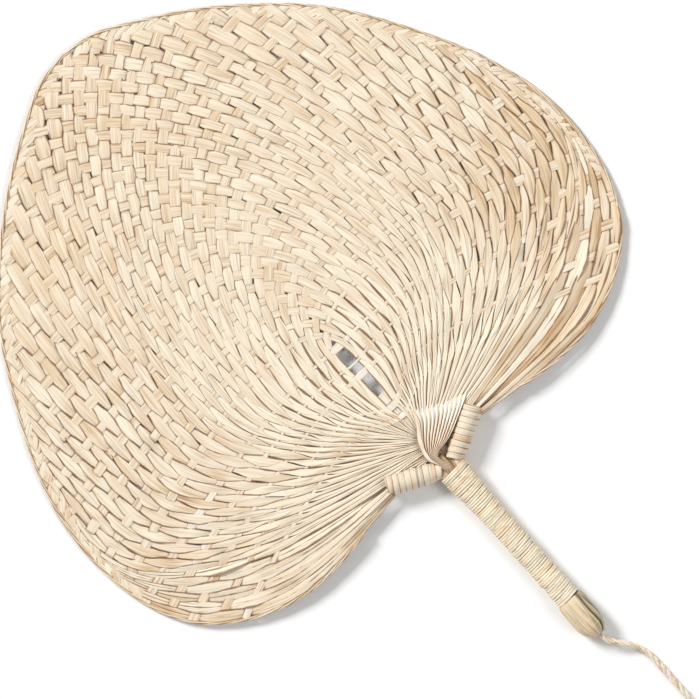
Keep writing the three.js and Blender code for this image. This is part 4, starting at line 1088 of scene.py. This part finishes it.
def rim_parts(rng):
    line = outline_at(np.linspace(0, RIM_END, int(RIM_END * OUTLINE_LENGTH)), RIM_INSET)
    path = with_height(line, blade_height(line) - RIM_SINK)
    return [
        strand_part(ply, out, RIM_RADIUS, RIM_RADIUS, rng.normal(*RIM_TONE), grain_seed(rng), RIM_SIDES)
        for ply, out in laid(path, UP, RIM_STRANDS, RIM_TWIST, RIM_PITCH)
    ]


def fold_parts(rng):
    parts = []
    t = np.linspace(0, 1, FOLD_POINTS)
    swell = np.sin(math.pi * np.clip(t, *FOLD_TIPS)) ** FOLD_BLUNTNESS
    rise = lerp(*FOLD_HEIGHTS, np.sin(math.pi * t) ** FOLD_ARCH)
    for k in range(int(FOLD_END * OUTLINE_LENGTH / FOLD_SPACING)):
        start = FOLD_START + k * FOLD_SPACING / OUTLINE_LENGTH + rng.normal(0, FOLD_JITTER)
        length = FOLD_LENGTH * (1 + rng.normal(0, FOLD_LENGTH_SPREAD))
        inset = lerp(rng.normal(*FOLD_INNER), rng.normal(*FOLD_OUTER), t)
        line = outline_at(start + t * length / OUTLINE_LENGTH, inset)
        half = FOLD_HALF * (1 + rng.normal(0, FOLD_WIDTH_SPREAD)) * swell
        tone = np.clip(rng.normal(*FOLD_TONE), *FOLD_TONE_RANGE)
        path = with_height(line, blade_height(line) + rise)
        parts.append(strip_part(path, UP, half, half, tone, shadow_lift=lerp(*FOLD_SHADOW_LIFTS, swell),
                                roll=rng.normal(0, FOLD_ROLL), camber=EDGE_CAMBER, seed=grain_seed(rng)))
    return parts


def tail_parts(rng, side):
    parts = []
    for q, line in enumerate(tail_lines):
        stops = passes[side, STRIPS + q]
        count = len(line)
        far = run(line)
        to_end = far[-1] - far
        wave = sway(stops, far) * ease(far, *TAIL_WAVE_RUN)
        back = tail_lines[q - 1] if q else full_lines[-1]
        ahead = tail_lines[q + 1] if q < TAILS - 1 else tail_lines[q - 1]
        widen = (1 + TAIL_SWELL * wave) * (1 + wander(rng, count, *TAIL_WIDTH_WANDER))
        widest = room_to_rim(line) + TAIL_OVERHANG
        taper = ease(to_end, *TAIL_TAPER)
        halves = (np.maximum(TAIL_HALF_AT_ARM, room_between(line, n) * TAIL_ROOM) for n in (back, ahead))
        inner, outer = (np.minimum(half * widen, widest) * taper + TAIL_LEAST for half in halves)
        # The dips lower the tail where it passes under, and paint shadow there
        dips_and_shade = dips(stops, far, weft_half_width(line) + WEFT_CLEARANCE)
        height = blade_height(line) + TAIL_LIFT * wave - 2 * DIP * dips_and_shade
        height = height - TAIL_END_DROP * (1 - ease(to_end, 0, TAIL_END_RUN))
        height = height + lerp(rng.uniform(-TAIL_SCATTER, TAIL_SCATTER), 0, ease(far, *TAIL_SCATTER_RUN))
        roll = wander(rng, count, *TAIL_ROLL_WANDER)
        tone = np.clip(rng.normal(TAIL_TONES[side], TAIL_TONE_SPREAD), *TAIL_TONE_RANGE)
        tone = tone + wander(rng, count, *TAIL_TONE_WANDER)
        seed = grain_seed(rng)
        crease = TAIL_CREASE + wander(rng, count, *TAIL_CREASE_WANDER)
        parts.append(strip_part(with_height(line, height), UP, inner, outer, tone, shadow_lift=-dips_and_shade, roll=roll,
                                camber=EDGE_CAMBER, seed=seed, wear_and_shade=(TAIL_WEAR_AND_SHADE, TAIL_WEAR_AND_SHADE), crease=crease))
    return parts


def arm_strand_parts(rng):
    parts = []
    half = ARM_STRAND_HALF
    for q in range(ARM_STRANDS):
        angle = 2 * math.pi * q / ARM_STRANDS
        out = ARM_OUTWARD * math.cos(angle) * (ARM_RADIUS - ARM_STRAND_INSET)
        rise = math.sin(angle) * (ARM_RADIUS - ARM_STRAND_INSET)
        outer, inner = ARM_OUTER - ARM_RUN + out, ARM_INNER + out * ARM_NARROWING
        end = TUCK + np.array((math.cos(angle) * TUCK_SPREAD, 0))
        reach = np.linalg.norm(end - inner)
        line = np.concatenate([
            respace(np.stack([outer, inner]), ARM_STRAND_STEP)[:-1],
            bend(inner, ARM_RUN * reach, end, np.array((0, -1.0)) * reach, TUCK_POINTS), [end],
        ])
        path = with_height(line, HANDLE_HEIGHT + rise * np.linspace(1, TUCK_RISE, len(line)))
        roll = -math.cos(angle) * ARM_STRAND_ROLL * np.sign(rise if rise else 1)
        parts.append(strip_part(path, UP, half, half, rng.normal(*ARM_STRAND_TONE), camber=ARM_STRAND_CAMBER,
                                roll=roll, seed=grain_seed(rng)))
    return parts


def build_edges():
    for side_name, side in SIDES.items():
        rng = random_for(4, side + 1)
        parts = rim_parts(rng) + fold_parts(rng) + tail_parts(rng, side) + arm_strand_parts(rng)
        parts = [on_side(p, side) for p in parts]
        build_piece(f"{side_name}_edge_strips", parts, leaf, [f"{side_name}_gathered_edge"])


build_edges()


# Bindings

def winding(rng, turns, points):
    """Shares and angles along a winding, and a function for how uneven it is from turn to turn."""
    t = np.linspace(0, 1, turns * points)

    def uneven(size, per_turn=KNOTS_PER_TURN):
        return wander(rng, len(t), turns * per_turn, size)

    return t, t * turns * 2 * math.pi, uneven


def arm_winding(rng):
    length = np.linalg.norm(ARM_INNER - ARM_OUTER) + ARM_NECK_REACH
    t, angle, uneven = winding(rng, ARM_TURNS, ARM_TURN_POINTS)
    angle = angle + ARM_FIRST_ANGLE
    radius = ARM_RADIUS + ARM_COVER + ARM_STEP_UP * ease(t, *ARM_STEP_RUN) + uneven(ARM_RADIUS_WANDER)
    radius = radius - ARM_TAPER * ease(t, *ARM_TAPER_RUN)
    middle = ARM_OUTER + ARM_RUN * ARM_START + ARM_RUN * (t * length)[:, None]
    radial = with_height(ARM_OUTWARD * np.cos(angle)[:, None], np.sin(angle))
    path = with_height(middle, blade_height(middle)) + radial * radius[:, None]
    half = ARM_STRIP_HALF * (1 + uneven(ARM_WIDTH_WANDER))
    tone = ARM_TONE + uneven(ARM_TONE_WANDER)
    roll = ARM_SHINGLE + uneven(ARM_ROLL_WANDER, ARM_ROLL_KNOTS)
    return strip_part(path, radial, half, half, tone, roll=roll, camber=EDGE_CAMBER,
                      seed=grain_seed(rng), thickness=ARM_STRIP_THICKNESS, wear_and_shade=(ARM_WEAR_AND_SHADE, ARM_WEAR_AND_SHADE))


def handle_axis(below):
    return HANDLE_LEAN * (HANDLE_TOP - np.maximum(HANDLE_TOP, below))


def handle_radius(below):
    flare = np.exp(-(np.maximum(0, below - HANDLE_TOP) / NECK_FLARE) ** 2)
    return lerp(HANDLE_RADIUS, NECK_RADIUS, flare)


def handle_winding():
    t, angle, uneven = winding(random_for(5), BINDING_TURNS, BINDING_TURN_POINTS)
    below = lerp(BINDING_TOP, BINDING_END, t) + uneven(BINDING_WANDER)
    below = below + BINDING_SLANT * np.sin(angle - BINDING_PHASE)
    radius = handle_radius(below) - THREAD_RADIUS + THREAD_PROUD + uneven(BINDING_RADIUS_WANDER, 1)
    radial = np.column_stack([np.cos(angle), np.zeros_like(t), np.sin(angle)])
    middle = with_height(np.column_stack([handle_axis(below), -below]), HANDLE_HEIGHT)
    path = middle + radial * (1, 1, HANDLE_FLATNESS) * radius[:, None]
    thick = THREAD_RADIUS * (1 + uneven(THREAD_WANDER))
    tone = THREAD_TONE + uneven(THREAD_TONE_WANDER)
    return strand_part(path, radial, thick, thick * THREAD_FLATNESS, tone, THREAD_SEED, THREAD_SIDES)


def build_bindings():
    for side_name, side in SIDES.items():
        strip = on_side(arm_winding(random_for(6, side + 1)), side)
        build_piece(f"{side_name}_arm_wrap", [strip], arm_leaf, [f"{side_name}_arm_binding"])
    build_piece("handle_thread", [handle_winding()], thread, ["handle_binding"])


build_bindings()


# End cap: two folded leaves

def cap_leaf_part(start, end, seed, folds, lap):
    """A leaf wrapped round the butt between two seams, given in degrees at its mouth and at its tip."""
    v = np.linspace(0, 1, CAP_ROWS)[:, None]
    share = np.linspace(0, 1, CAP_COLUMNS)[None]
    degrees = lerp(lerp(*start, v), lerp(*end, v), share)
    sweep = np.radians(degrees)
    profile = np.interp(v, CAP_SHARES, CAP_PROFILE) * CAP_RADIUS
    wrinkle = WRINKLE * np.sin(sweep * WRINKLES + WRINKLE_SWAY * np.sin(v * WRINKLE_WAVES) + seed)
    wrinkle = wrinkle + FINE_WRINKLE * np.sin(sweep * FINE_WRINKLES + FINE_DRIFT * v + 2 * seed)
    fold = np.zeros_like(degrees)
    for place in folds:
        swayed = place + CREASE_SWAY * np.sin(CREASE_WAVES * v + place)
        fold += np.exp(-((degrees - swayed) / CREASE_WIDTH) ** 2)
    radius = profile + wrinkle - CREASE_DEPTH * fold + np.interp(share, LAP_SHARES, lap) - CAP_SINK
    below = HANDLE_LENGTH - CAP_LENGTH + v * CAP_LENGTH

    def surface(r):
        x = handle_axis(below) + r * np.cos(sweep)
        z = np.maximum(CAP_FLOOR, HANDLE_HEIGHT + r * np.sin(sweep) * CAP_FLATNESS)
        return np.stack([x, np.broadcast_to(-below, x.shape), z], axis=-1)

    # Creases are painted darker with shadow, as shade; the seams are darkened with brown, partly as the
    # leaf's edge and partly as painted shade where the leaves lap
    crease_shade = np.minimum(1, fold)
    edge = np.maximum(np.abs(share * 2 - 1) ** SEAM_POWER, crease_shade)
    grain = (sweep * CAP_RADIUS, v * CAP_LENGTH, CAP_SEED * seed)
    shade = (CAP_TONE + WRINKLE_TONE * wrinkle + CREASE_SHADE_TONE * crease_shade, edge, CAP_SHADOW_LIFT - fold)
    return sheet_part(surface(radius), surface(radius - CAP_WALL), grain, shade)


def build_cap():
    front = cap_leaf_part(FRONT_SEAM, BACK_SEAM, 1, (), FRONT_LAP)
    back_start, back_end = np.add(BACK_SEAM, -BACK_TUCK), np.add(FRONT_SEAM, 360 + FRONT_TUCK)
    back = cap_leaf_part(back_start, back_end, 2, CREASES, BACK_LAP)
    build_piece("cap_front_leaf", [front], cap_leaf, ["end_cap_front_leaf"])
    build_piece("cap_back_leaf", [back], green_cap_leaf, ["end_cap_back_leaf"])


build_cap()
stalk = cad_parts["leaf_stalk"]
stalk.data.materials.clear()
stalk.data.materials.append(stalk_material())
